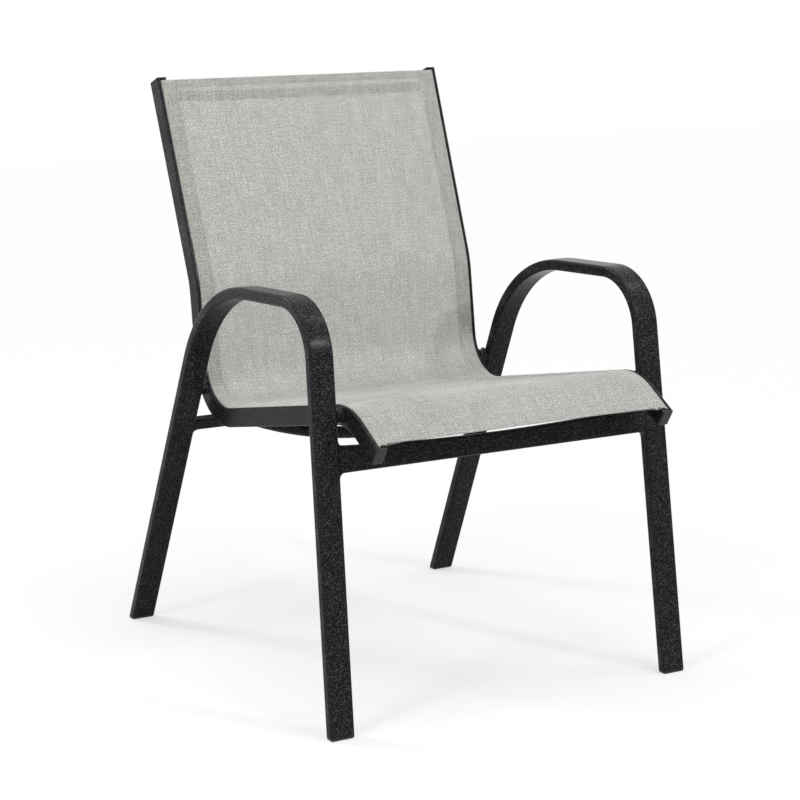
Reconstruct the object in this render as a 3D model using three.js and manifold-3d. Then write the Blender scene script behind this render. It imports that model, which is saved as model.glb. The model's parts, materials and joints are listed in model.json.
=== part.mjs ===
// Stacking patio chair: two bent side frames, two slotted sling rails and a stretched mesh sling.
// Millimetres and degrees, +Z up. The sitter faces -Y, and the chair is symmetrical about X = 0.
import * as THREE from 'three';
import Module from 'manifold-3d';
import { mergeVertices } from 'three/addons/utils/BufferGeometryUtils.js';

const wasm = await Module();
wasm.setup();

// Side frames: one flat tube each, bent into front leg, arm and rear leg.
const frameSpread = 559; // between the centre planes of the side frames, at splayHeight
const splayAngle = 1.13; // each side frame leans in at the top
const splayHeight = 310;
const frontFoot = -317; // Y of the front foot's centre
const rearFoot = 345;
const frontLegLean = 7.9; // from vertical
const rearLegLean = 24;
const armHeight = 583; // centre line of the arm at Y = 0
const armRise = 2.9; // the arm climbs towards the front
const frontBendRadius = 82;
const rearBendRadius = 210;
const frameTubeWidth = 38;
const frameTubeDepth = 16.5;
const frameTubeCorner = 4;
const frameTubeWall = 1.6;

// Crossbars, welded between the legs. The front one is a length of the frame tube.
const frontBarGap = 29.5; // from the underside of the front standoffs down to the bar
const frontBarDip = 7.7; // how far its top face sinks in the middle, clear of the sling
const rearBarHeight = 18;
const rearBarDepth = 15;
const rearBarCorner = 3;
const rearBarGap = 40;
const weldLeg = 8; // size of the weld fillet in each corner
const weldInset = 2; // the weld stops this far inside the bar's front and back faces
const weldRoot = 1.4; // how far the weld reaches into the bar's wall

// Sling rails: an S-shaped slotted profile each, drawn by the line that the sling follows.
const railSpread = 495.6; // over the outer faces, below the lumbar bend
const backFlare = 3.6; // how far each rail's straight back run leans outwards at the top
const railWidth = 16;
const railDepth = 29;
const railCorner = 2;
const railWall = 1.7;
const noseY = -353.1; // front end of the sling line
const noseHeight = 414.5;
const noseLength = 92;
const noseAngle = 30.9;
const kneeRadius = 100;
const seatLength = 449;
const seatAngle = 11.3;
const hipRadius = 70;
const lumbarLength = 194;
const lumbarAngle = 8;
const lumbarRadius = 160;
const backLength = 326;
const backAngle = 21.6;
const lipWidth = 4.5; // from the rail's outer face to the slot
const lipDrop = 1.9; // the inner lip lies lower, so that the sling is flush with the outer one
const slotWidth = 3;
const channelDiameter = 9;
const channelDrop = 8; // channel centre below the sling line

// Standoffs, the short welded stubs that carry each rail off its side frame.
const standoffDiameter = 21;
const standoffWall = 2.5;
const frontStandoffBack = 2.7; // along Y, from the place where leg and rail cross
const rearStandoffBack = 2.3;
const rearStandoffRise = 9.7;

// Spreaders, the bowed bars that keep the rails apart against the pull of the sling.
const seatSpreaderDiameter = 19;
const seatSpreaderY = 65;
const seatSpreaderBow = 46;
const backSpreaderDiameter = 16;
const backSpreaderDrop = 25.5; // below the top end of the rail, along it
const backSpreaderBow = 6;
const spreaderWall = 1.5;
const spreaderSeat = 15; // how far the bar's end lies under the sling line

// Sling: two layers along its side hems, and a loop round a spline in each rail.
const fabricThickness = 0.8;
const sideHemWidth = 24; // from the slot
const frontHemWidth = 26;
const topHemWidth = 13.5;
const hemInset = 0.2; // the end hems stop this far inside the sling's end and the side hems' underside
const splineDiameter = 5.4;
const slingFrontSetback = 8; // from the ends of the rails
const slingTopSetback = 2.5;
const splineSetback = 4;

// Plastic plugs.
const noseCapThickness = 3;
const noseCapEdge = 1;
const noseCapRound = 2.8; // the lower edge of its face
const topCapThickness = 1.9;
const topCapEdge = 0.8;
const capTongueLength = 16;
const capTongueHeight = 10;
const footHeight = 5;
const footRound = 3.2; // the lower edges of the pad
const footPlugLength = 26;

// Fits.
const clearance = 0.3;
const overrun = 20; // how far a cutter or an untrimmed end runs past

// Facets.
const bendStep = 8; // degrees of bend in one facet, at most
const cornerFacets = 3;
const boreFacets = 2;
const edgeFacets = 2;
const roundFacets = 3;
const pipeFacets = 14;
const channelFacets = 8;
const loopFacets = 7;
const splineFacets = 8;
const weldFacets = 5;
const bowFacets = 12;
const barFacets = 12;

const charcoal = { color: 0x2b2d2f, roughness: 0.55, metalness: 0.4 };
const meshGrey = { color: 0xbdbdb8, roughness: 0.9, metalness: 0 };
const plugGrey = { color: 0x4a4d50, roughness: 0.6, metalness: 0 };
const plugBlack = { color: 0x1b1c1d, roughness: 0.6, metalness: 0 };
const splineWhite = { color: 0xd8d8d4, roughness: 0.5, metalness: 0 };

const rad = THREE.MathUtils.degToRad;
const sides = [{ name: 'left', sign: -1 }, { name: 'right', sign: 1 }];

// Line in the Y-Z plane with straight runs and round bends, which a section can be swept along.
class BentLine extends THREE.Curve {
  constructor(corners, radii) {
    super();
    this.points = [];
    this.tangents = [];
    const legs = corners.slice(1).map((corner, i) => corner.clone().sub(corners[i]).normalize());
    this.addStation(corners[0], legs[0]);
    radii.forEach((radius, i) => this.addBend(corners[i + 1], legs[i], legs[i + 1], radius));
    this.addStation(corners[corners.length - 1], legs[legs.length - 1]);
  }

  addStation(point, tangent) {
    this.points.push(point.clone());
    this.tangents.push(tangent.clone());
  }

  addBend(corner, before, after, radius) {
    const turn = before.angleTo(after);
    const start = corner.clone().addScaledVector(before, -radius * Math.tan(turn / 2));
    const inward = after.clone().addScaledVector(before, -after.dot(before)).normalize();
    const facets = Math.ceil(turn / rad(bendStep));
    for (let i = 0; i <= facets; i += 1) {
      const angle = (turn * i) / facets;
      const point = start.clone()
        .addScaledVector(before, radius * Math.sin(angle))
        .addScaledVector(inward, radius * (1 - Math.cos(angle)));
      const heading = before.clone().multiplyScalar(Math.cos(angle));
      this.addStation(point, heading.addScaledVector(inward, Math.sin(angle)));
    }
  }

  // The part of the line that is left when a length is taken off its start and one off its end.
  shortened(atStart, atEnd) {
    const last = this.points.length - 1;
    const line = new BentLine([this.points[0], this.points[1]], []);
    line.points = this.points.map((point) => point.clone());
    line.tangents = this.tangents;
    line.points[0].addScaledVector(this.tangents[0], atStart);
    line.points[last].addScaledVector(this.tangents[last], -atEnd);
    return line;
  }

  getPoint(share) {
    const place = share * (this.points.length - 1);
    const i = Math.min(Math.floor(place), this.points.length - 2);
    return this.points[i].clone().lerp(this.points[i + 1], place - i);
  }

  getSpacedPoints() {
    return this.points;
  }

  // A section's x runs along -X and its y to the side that the sitter, or the open air, is on.
  computeFrenetFrames() {
    const across = new THREE.Vector3(-1, 0, 0);
    return {
      tangents: this.tangents,
      normals: this.tangents.map(() => across),
      binormals: this.tangents.map((tangent) => tangent.clone().cross(across)),
    };
  }
}

// Line in the X-Y plane of its own, bowed as a circular arc of a given span and height.
class BowLine extends THREE.Curve {
  constructor(span, bow) {
    super();
    this.radius = (span * span) / (8 * bow) + bow / 2;
    this.bow = bow;
    this.halfAngle = Math.asin(span / 2 / this.radius);
  }

  getPoint(share) {
    const angle = this.halfAngle * (2 * share - 1);
    return new THREE.Vector3(
      this.radius * Math.sin(angle),
      this.radius * (1 - Math.cos(angle)) - this.bow,
      0,
    );
  }
}

function point(y, z) {
  return new THREE.Vector3(0, y, z);
}

function sweep(shape, line) {
  const steps = line.points.length - 1;
  return new THREE.ExtrudeGeometry(shape, { steps, extrudePath: line });
}

function circlePoints(x, y, radius, facets, from = 0, turn = 2 * Math.PI) {
  const closed = Math.abs(turn) >= 2 * Math.PI;
  const count = closed ? facets : facets + 1;
  return Array.from({ length: count }, (_, i) => {
    const angle = from + (turn * i) / facets;
    return new THREE.Vector2(x + radius * Math.cos(angle), y + radius * Math.sin(angle));
  });
}

// Rounded rectangle about the origin.
function rectPoints(width, depth, corner, facets) {
  const quarter = Math.PI / 2;
  return [[1, 1], [-1, 1], [-1, -1], [1, -1]].flatMap(([right, up], i) => circlePoints(
    right * (width / 2 - corner), up * (depth / 2 - corner), corner, facets, i * quarter, quarter));
}

function tubeShape(width, depth, corner, wall) {
  const shape = new THREE.Shape(rectPoints(width, depth, corner, cornerFacets));
  if (wall > 0) {
    const bore = rectPoints(width - 2 * wall, depth - 2 * wall, corner - wall, boreFacets);
    shape.holes.push(new THREE.Path(bore));
  }
  return shape;
}

// Solids and booleans.
function toSolid(geometry) {
  const bare = geometry.index ? geometry.toNonIndexed() : geometry.clone();
  bare.deleteAttribute('normal');
  bare.deleteAttribute('uv');
  const merged = mergeVertices(bare);
  return new wasm.Manifold(new wasm.Mesh({
    numProp: 3,
    vertProperties: new Float32Array(merged.attributes.position.array),
    triVerts: new Uint32Array(merged.index.array),
  }));
}

function toGeometry(solid) {
  const mesh = solid.getMesh();
  const geometry = new THREE.BufferGeometry();
  geometry.setAttribute('position', new THREE.BufferAttribute(new Float32Array(mesh.vertProperties), 3));
  geometry.setIndex(new THREE.BufferAttribute(new Uint32Array(mesh.triVerts), 1));
  geometry.computeVertexNormals();
  return geometry;
}

function makeMesh(name, geometry, finish) {
  const mesh = new THREE.Mesh(geometry, new THREE.MeshStandardMaterial(finish));
  mesh.name = name;
  return mesh;
}

// Side frames.
// How many times a slope goes from one line's start to the place where it meets another line.
function shareWhere(from, slope, target, targetSlope) {
  const a = slope.y * targetSlope.z - slope.z * targetSlope.y;
  const gap = target.clone().sub(from);
  return (gap.y * targetSlope.z - gap.z * targetSlope.y) / a;
}

function cornerWhere(from, slope, target, targetSlope) {
  return from.clone().addScaledVector(slope, shareWhere(from, slope, target, targetSlope));
}

// Centre line of a side frame, running past the floor at both feet.
function frameLine() {
  const up = point(Math.sin(rad(frontLegLean)), Math.cos(rad(frontLegLean)));
  const back = point(Math.cos(rad(armRise)), -Math.sin(rad(armRise)));
  const down = point(Math.sin(rad(rearLegLean)), -Math.cos(rad(rearLegLean)));
  const front = point(frontFoot, 0);
  const rear = point(rearFoot, 0);
  const arm = point(0, armHeight);
  const corners = [
    front.clone().addScaledVector(up, -overrun),
    cornerWhere(front, up, arm, back),
    cornerWhere(rear, down, arm, back),
    rear.clone().addScaledVector(down, overrun),
  ];
  return new BentLine(corners, [frontBendRadius, rearBendRadius]);
}

// Moves a shape made about X = 0 to one side frame's tilted plane.
function toFrameSide(geometry, side) {
  return geometry
    .translate(0, 0, -splayHeight)
    .rotateY(-side.sign * rad(splayAngle))
    .translate((side.sign * frameSpread) / 2, 0, splayHeight);
}

function frameSolid(side, wall, extra) {
  const shape = tubeShape(
    frameTubeWidth + 2 * extra, frameTubeDepth + 2 * extra, frameTubeCorner + extra, wall);
  return toSolid(toFrameSide(sweep(shape, frameLine()), side));
}

function slab(bottom, top) {
  const across = 2 * (frameSpread + frameTubeWidth);
  const along = 2 * (rearFoot - frontFoot);
  const box = new THREE.BoxGeometry(across, along, top - bottom);
  return toSolid(box.translate(0, 0, (bottom + top) / 2));
}

function sideFrame(side) {
  const cut = frameSolid(side, frameTubeWall, 0).subtract(slab(-2 * overrun, footHeight));
  return makeMesh(`${side.name}_side_frame`, toGeometry(cut), charcoal);
}

// A level ring of the tube's outline round a leg's axis, drawn in by an inset, at a height.
function legRing(side, foot, axis, inset, height) {
  const outline = rectPoints(frameTubeWidth - 2 * inset, frameTubeDepth - 2 * inset,
    frameTubeCorner - inset, cornerFacets);
  const ring = outline.map((p) => new THREE.Vector3(p.x, foot.y + p.y * axis.z, foot.z - p.y * axis.y));
  const { position } = toFrameSide(new THREE.BufferGeometry().setFromPoints(ring), side).attributes;
  const along = axis.clone().applyAxisAngle(new THREE.Vector3(0, 1, 0), -side.sign * rad(splayAngle));
  return ring.map((_, i) => {
    const place = new THREE.Vector3().fromBufferAttribute(position, i);
    return place.addScaledVector(along, (height - place.z) / along.z).toArray();
  });
}

// The pad of a foot plug, as wide as the tube, with its lower edges rounded.
function footPad(side, foot, axis, top) {
  const rings = [legRing(side, foot, axis, 0, top)];
  for (let i = 0; i <= roundFacets; i += 1) {
    const angle = (Math.PI / 2) * (i / roundFacets);
    const inset = footRound * (1 - Math.sin(angle));
    rings.push(legRing(side, foot, axis, inset, footRound * (1 - Math.cos(angle))));
  }
  return wasm.Manifold.hull(rings.flat());
}

// Foot plugs: a pad the size of the tube with a stem pushed up into it.
function footPlug(side, end) {
  const lean = rad(end === 'front' ? frontLegLean : -rearLegLean);
  const foot = point(end === 'front' ? frontFoot : rearFoot, 0);
  const axis = point(Math.sin(lean), Math.cos(lean));
  const line = new BentLine([foot, foot.clone().addScaledVector(axis, footPlugLength + footHeight)], []);
  const bore = frameTubeWall + clearance;
  const stemShape = tubeShape(
    frameTubeWidth - 2 * bore, frameTubeDepth - 2 * bore, frameTubeCorner - frameTubeWall, 0);
  const padTop = footHeight - clearance;
  const stem = toSolid(toFrameSide(sweep(stemShape, line), side)).subtract(slab(-2 * overrun, padTop / 2));
  const plug = footPad(side, foot, axis, padTop).add(stem);
  return makeMesh(`${side.name}_${end}_foot_plug`, toGeometry(plug), plugBlack);
}

// Crossbars: a flat tube along X with a weld fillet in the corners that it makes with the legs.
function weldShape() {
  return new THREE.Shape([
    new THREE.Vector2(-overrun, -weldLeg),
    ...circlePoints(weldLeg, -weldLeg, weldLeg, weldFacets, Math.PI, -Math.PI / 2),
    new THREE.Vector2(weldLeg, weldRoot),
    new THREE.Vector2(-overrun, weldRoot),
  ]);
}

function weld(side, face, innerFace, halfHeight, depth) {
  const wedge = new THREE.ExtrudeGeometry(weldShape(), { depth, bevelEnabled: false });
  wedge.translate(0, 0, -depth / 2);
  wedge.rotateX(Math.PI / 2);
  if (face > 0) wedge.rotateX(Math.PI);
  if (side.sign > 0) wedge.rotateZ(Math.PI);
  return toSolid(wedge.translate(side.sign * innerFace, 0, face * halfHeight));
}

// Half the clear width between the side frames at a height.
function innerHalfWidth(height) {
  const centre = frameSpread / 2 + (splayHeight - height) * Math.tan(rad(splayAngle));
  return centre - frameTubeWidth / 2 / Math.cos(rad(splayAngle));
}

// Sinks the upper half of a bar along X in a shallow curve between its welds.
function dipped(geometry, halfLength, dip) {
  const { position } = geometry.attributes;
  for (let i = 0; i < position.count; i += 1) {
    const share = position.getX(i) / halfLength;
    const drop = position.getZ(i) > 0 ? dip * Math.max(0, 1 - share * share) : 0;
    position.setZ(i, position.getZ(i) - drop);
  }
  return geometry;
}

function crossbar(name, { height, depth, corner, level, lean, place, dip, weldFaces }) {
  const length = 2 * innerHalfWidth(level) + frameTubeWidth;
  const shape = tubeShape(depth, height, corner, frameTubeWall);
  const steps = dip > 0 ? barFacets : 1;
  const bar = new THREE.ExtrudeGeometry(shape, { depth: length, steps, bevelEnabled: false });
  bar.translate(0, 0, -length / 2).rotateX(Math.PI / 2).rotateZ(Math.PI / 2);
  let solid = toSolid(dipped(bar, innerHalfWidth(level) - weldLeg, dip));
  for (const side of sides) {
    for (const face of weldFaces) {
      const edge = innerHalfWidth(level + face * (height / 2));
      solid = solid.add(weld(side, face, edge, height / 2, depth - 2 * weldInset));
    }
  }
  const leant = toGeometry(solid).rotateX(lean).translate(0, place, level);
  let trimmed = toSolid(leant);
  for (const side of sides) {
    trimmed = trimmed.subtract(frameSolid(side, 0, clearance));
  }
  return makeMesh(name, toGeometry(trimmed), charcoal);
}

function frontCrossbar() {
  const level = barLevel('front', frameTubeWidth, frontBarGap);
  return crossbar('front_crossbar', {
    height: frameTubeWidth,
    depth: frameTubeDepth,
    corner: frameTubeCorner,
    level,
    lean: -rad(frontLegLean),
    place: frontFoot + level * Math.tan(rad(frontLegLean)),
    dip: frontBarDip,
    weldFaces: [-1, 1],
  });
}

function rearCrossbar() {
  const level = barLevel('rear', rearBarHeight, rearBarGap);
  return crossbar('rear_crossbar', {
    height: rearBarHeight,
    depth: rearBarDepth,
    corner: rearBarCorner,
    level,
    lean: rad(rearLegLean),
    place: rearFoot - level * Math.tan(rad(rearLegLean)),
    dip: 0,
    weldFaces: [-1],
  });
}

// Sling rails. The line starts at the nose and ends at the top of the back.
function slingLine() {
  const runs = [
    { length: noseLength, along: Math.cos(rad(noseAngle)), up: Math.sin(rad(noseAngle)) },
    { length: seatLength, along: Math.cos(rad(seatAngle)), up: -Math.sin(rad(seatAngle)) },
    { length: lumbarLength, along: Math.sin(rad(lumbarAngle)), up: Math.cos(rad(lumbarAngle)) },
    { length: backLength, along: Math.sin(rad(backAngle)), up: Math.cos(rad(backAngle)) },
  ];
  const corners = [point(noseY, noseHeight)];
  for (const run of runs) {
    const last = corners[corners.length - 1];
    corners.push(point(last.y + run.length * run.along, last.z + run.length * run.up));
  }
  return new BentLine(corners, [kneeRadius, hipRadius, lumbarRadius]);
}

// Spreads whatever is fixed to the rails sideways, in step with the lean of their back runs.
function flared(geometry) {
  const line = slingLine();
  const top = line.points[line.points.length - 1].z;
  const rise = backLength * Math.cos(rad(backAngle));
  const { position } = geometry.attributes;
  for (let i = 0; i < position.count; i += 1) {
    const share = Math.max(0, 1 - (top - position.getZ(i)) / rise);
    position.setX(i, position.getX(i) * (1 + (share * backFlare) / (railSpread / 2)));
  }
  return geometry;
}

// Distance of the slot's middle from X = 0.
const slotReach = railSpread / 2 - lipWidth - slotWidth / 2;

// Outline of a rail in its own section, x outwards from X = 0 and y up out of the sling line.
function railShape() {
  const outer = railSpread / 2;
  const inner = outer - railWidth;
  const radius = channelDiameter / 2;
  const opening = Math.asin(slotWidth / 2 / radius);
  const quarter = Math.PI / 2;
  const corner = (x, y, from) => circlePoints(x, y, railCorner, cornerFacets, from, -quarter);
  const shape = new THREE.Shape([
    new THREE.Vector2(slotReach + slotWidth / 2, 0),
    ...corner(outer - railCorner, -railCorner, quarter),
    ...corner(outer - railCorner, railCorner - railDepth, 0),
    ...corner(inner + railCorner, railCorner - railDepth, -quarter),
    ...corner(inner + railCorner, -lipDrop - railCorner, 2 * quarter),
    new THREE.Vector2(slotReach - slotWidth / 2, -lipDrop),
    ...circlePoints(
      slotReach, -channelDrop, radius, channelFacets, quarter + opening, 4 * quarter - 2 * opening),
  ]);
  shape.holes.push(chamberPath());
  return shape;
}

// Height of the hollow chamber below the spline channel.
const chamberHeight = railDepth - channelDrop - channelDiameter / 2 - 2 * railWall;
const chamberMiddle = -(railDepth - railWall - chamberHeight / 2);
const railMiddle = (railSpread - railWidth) / 2;

function chamberPath() {
  const corners = [[1, 1], [-1, 1], [-1, -1], [1, -1]].map(([x, y]) => new THREE.Vector2(
    railMiddle + x * (railWidth / 2 - railWall),
    chamberMiddle + (y * chamberHeight) / 2,
  ));
  return new THREE.Path(corners);
}

// A section drawn for the right-hand side, turned into the sweep's own x, which runs along -X.
function forSide(shape, side) {
  const { shape: outline, holes } = shape.extractPoints(1);
  const turn = (points) => points.map((p) => new THREE.Vector2(-side.sign * p.x, p.y));
  const turned = new THREE.Shape(turn(outline));
  turned.holes = holes.map((hole) => new THREE.Path(turn(hole)));
  return turned;
}

function railEnvelope(side, extra) {
  const outline = rectPoints(
    railWidth + 2 * extra, railDepth + 2 * extra, railCorner + extra, cornerFacets);
  const moved = outline.map((p) => new THREE.Vector2(railMiddle + p.x, p.y - railDepth / 2));
  return toSolid(flared(sweep(forSide(new THREE.Shape(moved), side), slingLine())));
}

function slingRail(side) {
  const solid = toSolid(flared(sweep(forSide(railShape(), side), slingLine())));
  return makeMesh(`${side.name}_sling_rail`, toGeometry(solid), charcoal);
}

// Splines: plastic rods in the sling's side loops.
function slingSpline(side) {
  const circle = new THREE.Shape(circlePoints(slotReach, -channelDrop, splineDiameter / 2, splineFacets));
  const line = slingLine().shortened(splineSetback, slingTopSetback);
  return makeMesh(`${side.name}_sling_spline`, flared(sweep(forSide(circle, side), line)), splineWhite);
}

// Sling: half of its section, from the middle out over the inner lip and down round the spline.
function slingHalf() {
  const layers = 2 * fabricThickness;
  const loop = splineDiameter / 2 + clearance + fabricThickness;
  const stemIn = slotReach - fabricThickness;
  const stemOut = slotReach + fabricThickness;
  const hemEdge = slotReach - sideHemWidth;
  const opening = Math.asin(fabricThickness / loop);
  const around = circlePoints(
    slotReach, -channelDrop, loop, loopFacets, Math.PI / 2 - opening, 2 * opening - 2 * Math.PI);
  return [
    new THREE.Vector2(0, 0),
    new THREE.Vector2(stemOut - fabricThickness, 0),
    new THREE.Vector2(stemOut, -fabricThickness),
    ...around,
    new THREE.Vector2(stemIn, -layers),
    new THREE.Vector2(hemEdge, -layers),
    new THREE.Vector2(hemEdge - fabricThickness, -fabricThickness),
    new THREE.Vector2(0, -fabricThickness),
  ];
}

// A further layer of cloth under an end of the sling, which runs into the side hems.
function endHem(place, along, from, to) {
  const half = slotReach - sideHemWidth + fabricThickness;
  const layer = new THREE.Shape([
    new THREE.Vector2(half, -fabricThickness / 2),
    new THREE.Vector2(-half, -fabricThickness / 2),
    new THREE.Vector2(-half, hemInset - 2 * fabricThickness),
    new THREE.Vector2(half, hemInset - 2 * fabricThickness),
  ]);
  const ends = [from, to].map((length) => place.clone().addScaledVector(along, length));
  return toSolid(sweep(layer, new BentLine(ends, [])));
}

function sling() {
  const right = slingHalf();
  const left = right.slice(1, -1).reverse().map((p) => new THREE.Vector2(-p.x, p.y));
  const shape = new THREE.Shape([...right, ...left]);
  for (const side of sides) {
    const bore = circlePoints(
      side.sign * slotReach, -channelDrop, splineDiameter / 2 + clearance, splineFacets);
    shape.holes.push(new THREE.Path(bore));
  }
  const line = slingLine().shortened(slingFrontSetback, slingTopSetback);
  const last = line.points.length - 1;
  const solid = toSolid(sweep(shape, line))
    .add(endHem(line.points[0], line.tangents[0], hemInset, frontHemWidth))
    .add(endHem(line.points[last], line.tangents[last], -topHemWidth, -hemInset));
  return makeMesh('sling', flared(toGeometry(solid)), meshGrey);
}

// Where a side frame, followed up from one foot, first crosses the middle line of the rail.
function crossing(end) {
  const tube = frameLine().points;
  if (end === 'rear') tube.reverse();
  const { points, tangents } = slingLine();
  const rail = points.map((place, i) => place.clone().addScaledVector(
    point(-tangents[i].z, tangents[i].y), -railDepth / 2));
  for (let i = 1; i < tube.length; i += 1) {
    const run = tube[i].clone().sub(tube[i - 1]);
    for (let j = 1; j < rail.length; j += 1) {
      const step = rail[j].clone().sub(rail[j - 1]);
      const share = shareWhere(tube[i - 1], run, rail[j - 1], step);
      const railShare = shareWhere(rail[j - 1], step, tube[i - 1], run);
      if (Math.min(share, railShare) >= 0 && Math.max(share, railShare) <= 1) {
        return tube[i - 1].clone().addScaledVector(run, share);
      }
    }
  }
  throw new Error(`The ${end} of a side frame crosses no rail.`);
}

function standoffPlace(end) {
  const place = crossing(end);
  return end === 'front' ? place.add(point(frontStandoffBack, 0))
    : place.add(point(rearStandoffBack, rearStandoffRise));
}

// Level of a crossbar's centre line, a gap below the standoffs of the same legs.
function barLevel(end, height, gap) {
  return standoffPlace(end).z - standoffDiameter / 2 - gap - height / 2;
}

// Standoffs: a short tube stub between a side frame's inner face and a rail's outer face.
function standoff(side, end) {
  const { y, z } = standoffPlace(end);
  const from = railSpread / 2;
  const to = innerHalfWidth(z) + frameTubeWidth / 2;
  const outline = new THREE.Shape(circlePoints(0, 0, standoffDiameter / 2, pipeFacets));
  outline.holes.push(new THREE.Path(circlePoints(0, 0, standoffDiameter / 2 - standoffWall, pipeFacets)));
  const stub = new THREE.ExtrudeGeometry(outline, { depth: to - from, bevelEnabled: false });
  stub.translate(0, 0, from).rotateY((side.sign * Math.PI) / 2).translate(0, y, z);
  const solid = toSolid(stub).subtract(frameSolid(side, 0, clearance));
  return makeMesh(`${side.name}_${end}_standoff`, toGeometry(solid), charcoal);
}

// Spreaders: a bowed round tube between the inner faces of the rails.
function spreaderSolid(diameter, bow) {
  const span = railSpread - 2 * railWidth;
  const ring = new THREE.Shape(circlePoints(0, 0, diameter / 2, pipeFacets));
  ring.holes.push(new THREE.Path(circlePoints(0, 0, diameter / 2 - spreaderWall, pipeFacets)));
  const stretched = (span + railWidth) / span;
  const line = new BowLine(span * stretched, bow * stretched * stretched);
  return new THREE.ExtrudeGeometry(ring, { steps: bowFacets, extrudePath: line })
    .translate(0, bow * (stretched * stretched - 1), 0);
}

function trimToRails(geometry) {
  let solid = toSolid(geometry);
  for (const side of sides) {
    solid = solid.subtract(railEnvelope(side, clearance));
  }
  return toGeometry(solid);
}

// Height of the sling line over a place on the seat's straight run.
function seatHeight(y) {
  const kneeY = noseY + noseLength * Math.cos(rad(noseAngle));
  const kneeZ = noseHeight + noseLength * Math.sin(rad(noseAngle));
  return kneeZ - (y - kneeY) * Math.tan(rad(seatAngle));
}

function seatSpreader() {
  const geometry = spreaderSolid(seatSpreaderDiameter, seatSpreaderBow).rotateX(Math.PI / 2);
  const level = seatHeight(seatSpreaderY) - spreaderSeat / Math.cos(rad(seatAngle));
  geometry.translate(0, seatSpreaderY, level);
  return makeMesh('seat_spreader', trimToRails(geometry), charcoal);
}

function backSpreader() {
  const geometry = spreaderSolid(backSpreaderDiameter, backSpreaderBow);
  const line = slingLine();
  const top = line.points[line.points.length - 1];
  const along = point(Math.sin(rad(backAngle)), Math.cos(rad(backAngle)));
  const behind = point(Math.cos(rad(backAngle)), -Math.sin(rad(backAngle)));
  const place = top.clone().addScaledVector(along, -backSpreaderDrop).addScaledVector(behind, spreaderSeat);
  geometry.rotateX(Math.PI - rad(backAngle)).translate(0, place.y, place.z);
  return makeMesh('back_spreader', trimToRails(geometry), charcoal);
}

// Head of a rail cap with bevelled edges, x across the rail, y up out of the sling line and z outwards.
function capHead(thickness, edge) {
  const outline = rectPoints(railWidth - 2 * edge, railDepth - 2 * edge, railCorner, cornerFacets);
  return toSolid(new THREE.ExtrudeGeometry(new THREE.Shape(outline), {
    depth: thickness - 2 * edge,
    bevelThickness: edge,
    bevelSize: edge,
    bevelSegments: edgeFacets,
  }).translate(0, -railDepth / 2, edge));
}

// Everything that a nose cap may fill, bounded by its face and the round below it.
function noseLimit() {
  const outline = new THREE.Shape([
    new THREE.Vector2(-overrun, overrun),
    new THREE.Vector2(-overrun, -railDepth),
    ...circlePoints(noseCapThickness - noseCapRound, noseCapRound - railDepth, noseCapRound, roundFacets,
      -Math.PI / 2, Math.PI / 2),
    new THREE.Vector2(noseCapThickness, overrun),
  ]);
  const prism = new THREE.ExtrudeGeometry(outline, { depth: 2 * railWidth, bevelEnabled: false });
  return toSolid(prism.rotateY(-Math.PI / 2).translate(railWidth, 0, 0));
}

// Rail caps: a rounded head over the rail's end with a tongue in its hollow chamber.
function railCap(side, end) {
  const line = slingLine();
  const last = line.points.length - 1;
  const atFront = end === 'front';
  const place = line.points[atFront ? 0 : last];
  const outward = line.tangents[atFront ? 0 : last].clone().multiplyScalar(atFront ? -1 : 1);
  const head = atFront ? capHead(noseCapThickness, noseCapEdge).intersect(noseLimit())
    : capHead(topCapThickness, topCapEdge);
  const tongue = new THREE.BoxGeometry(
    railWidth - 2 * (railWall + clearance), Math.min(capTongueHeight, chamberHeight - 2 * clearance),
    capTongueLength);
  tongue.translate(0, chamberMiddle, topCapEdge - capTongueLength / 2);
  const solid = head.add(toSolid(tongue));
  const up = new THREE.Vector3(1, 0, 0).cross(line.tangents[atFront ? 0 : last]);
  const across = up.clone().cross(outward);
  const turn = new THREE.Matrix4().makeBasis(across, up, outward);
  const spot = place.clone().addScaledVector(outward, clearance);
  turn.setPosition(spot.x + side.sign * railMiddle, spot.y, spot.z);
  const finish = atFront ? plugGrey : plugBlack;
  return makeMesh(`${side.name}_rail_${end}_cap`, flared(toGeometry(solid).applyMatrix4(turn)), finish);
}

function chair() {
  const group = new THREE.Group();
  for (const side of sides) {
    group.add(sideFrame(side), slingRail(side), slingSpline(side));
    for (const end of ['front', 'rear']) {
      group.add(footPlug(side, end), standoff(side, end));
    }
    group.add(railCap(side, 'front'), railCap(side, 'top'));
  }
  group.add(frontCrossbar(), rearCrossbar(), seatSpreader(), backSpreader(), sling());
  // The origin lies on the floor, halfway between the foremost and rearmost points.
  const middle = new THREE.Box3().setFromObject(group).getCenter(new THREE.Vector3());
  group.position.y = -middle.y;
  return group;
}

export default chair();
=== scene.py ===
"""Stacking patio armchair with a stretched mesh sling, dressed for rendering.

Metres, +Z up, and the sitter faces -Y. All but the cloth's waves and tails is symmetrical about X = 0.
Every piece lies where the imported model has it. Shapes are profiles carried along lines, worked out as
whole arrays.
"""

import json
import logging
from dataclasses import dataclass
from enum import Enum
from math import atan2, cos, hypot, pi, radians, sin, tan

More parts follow.
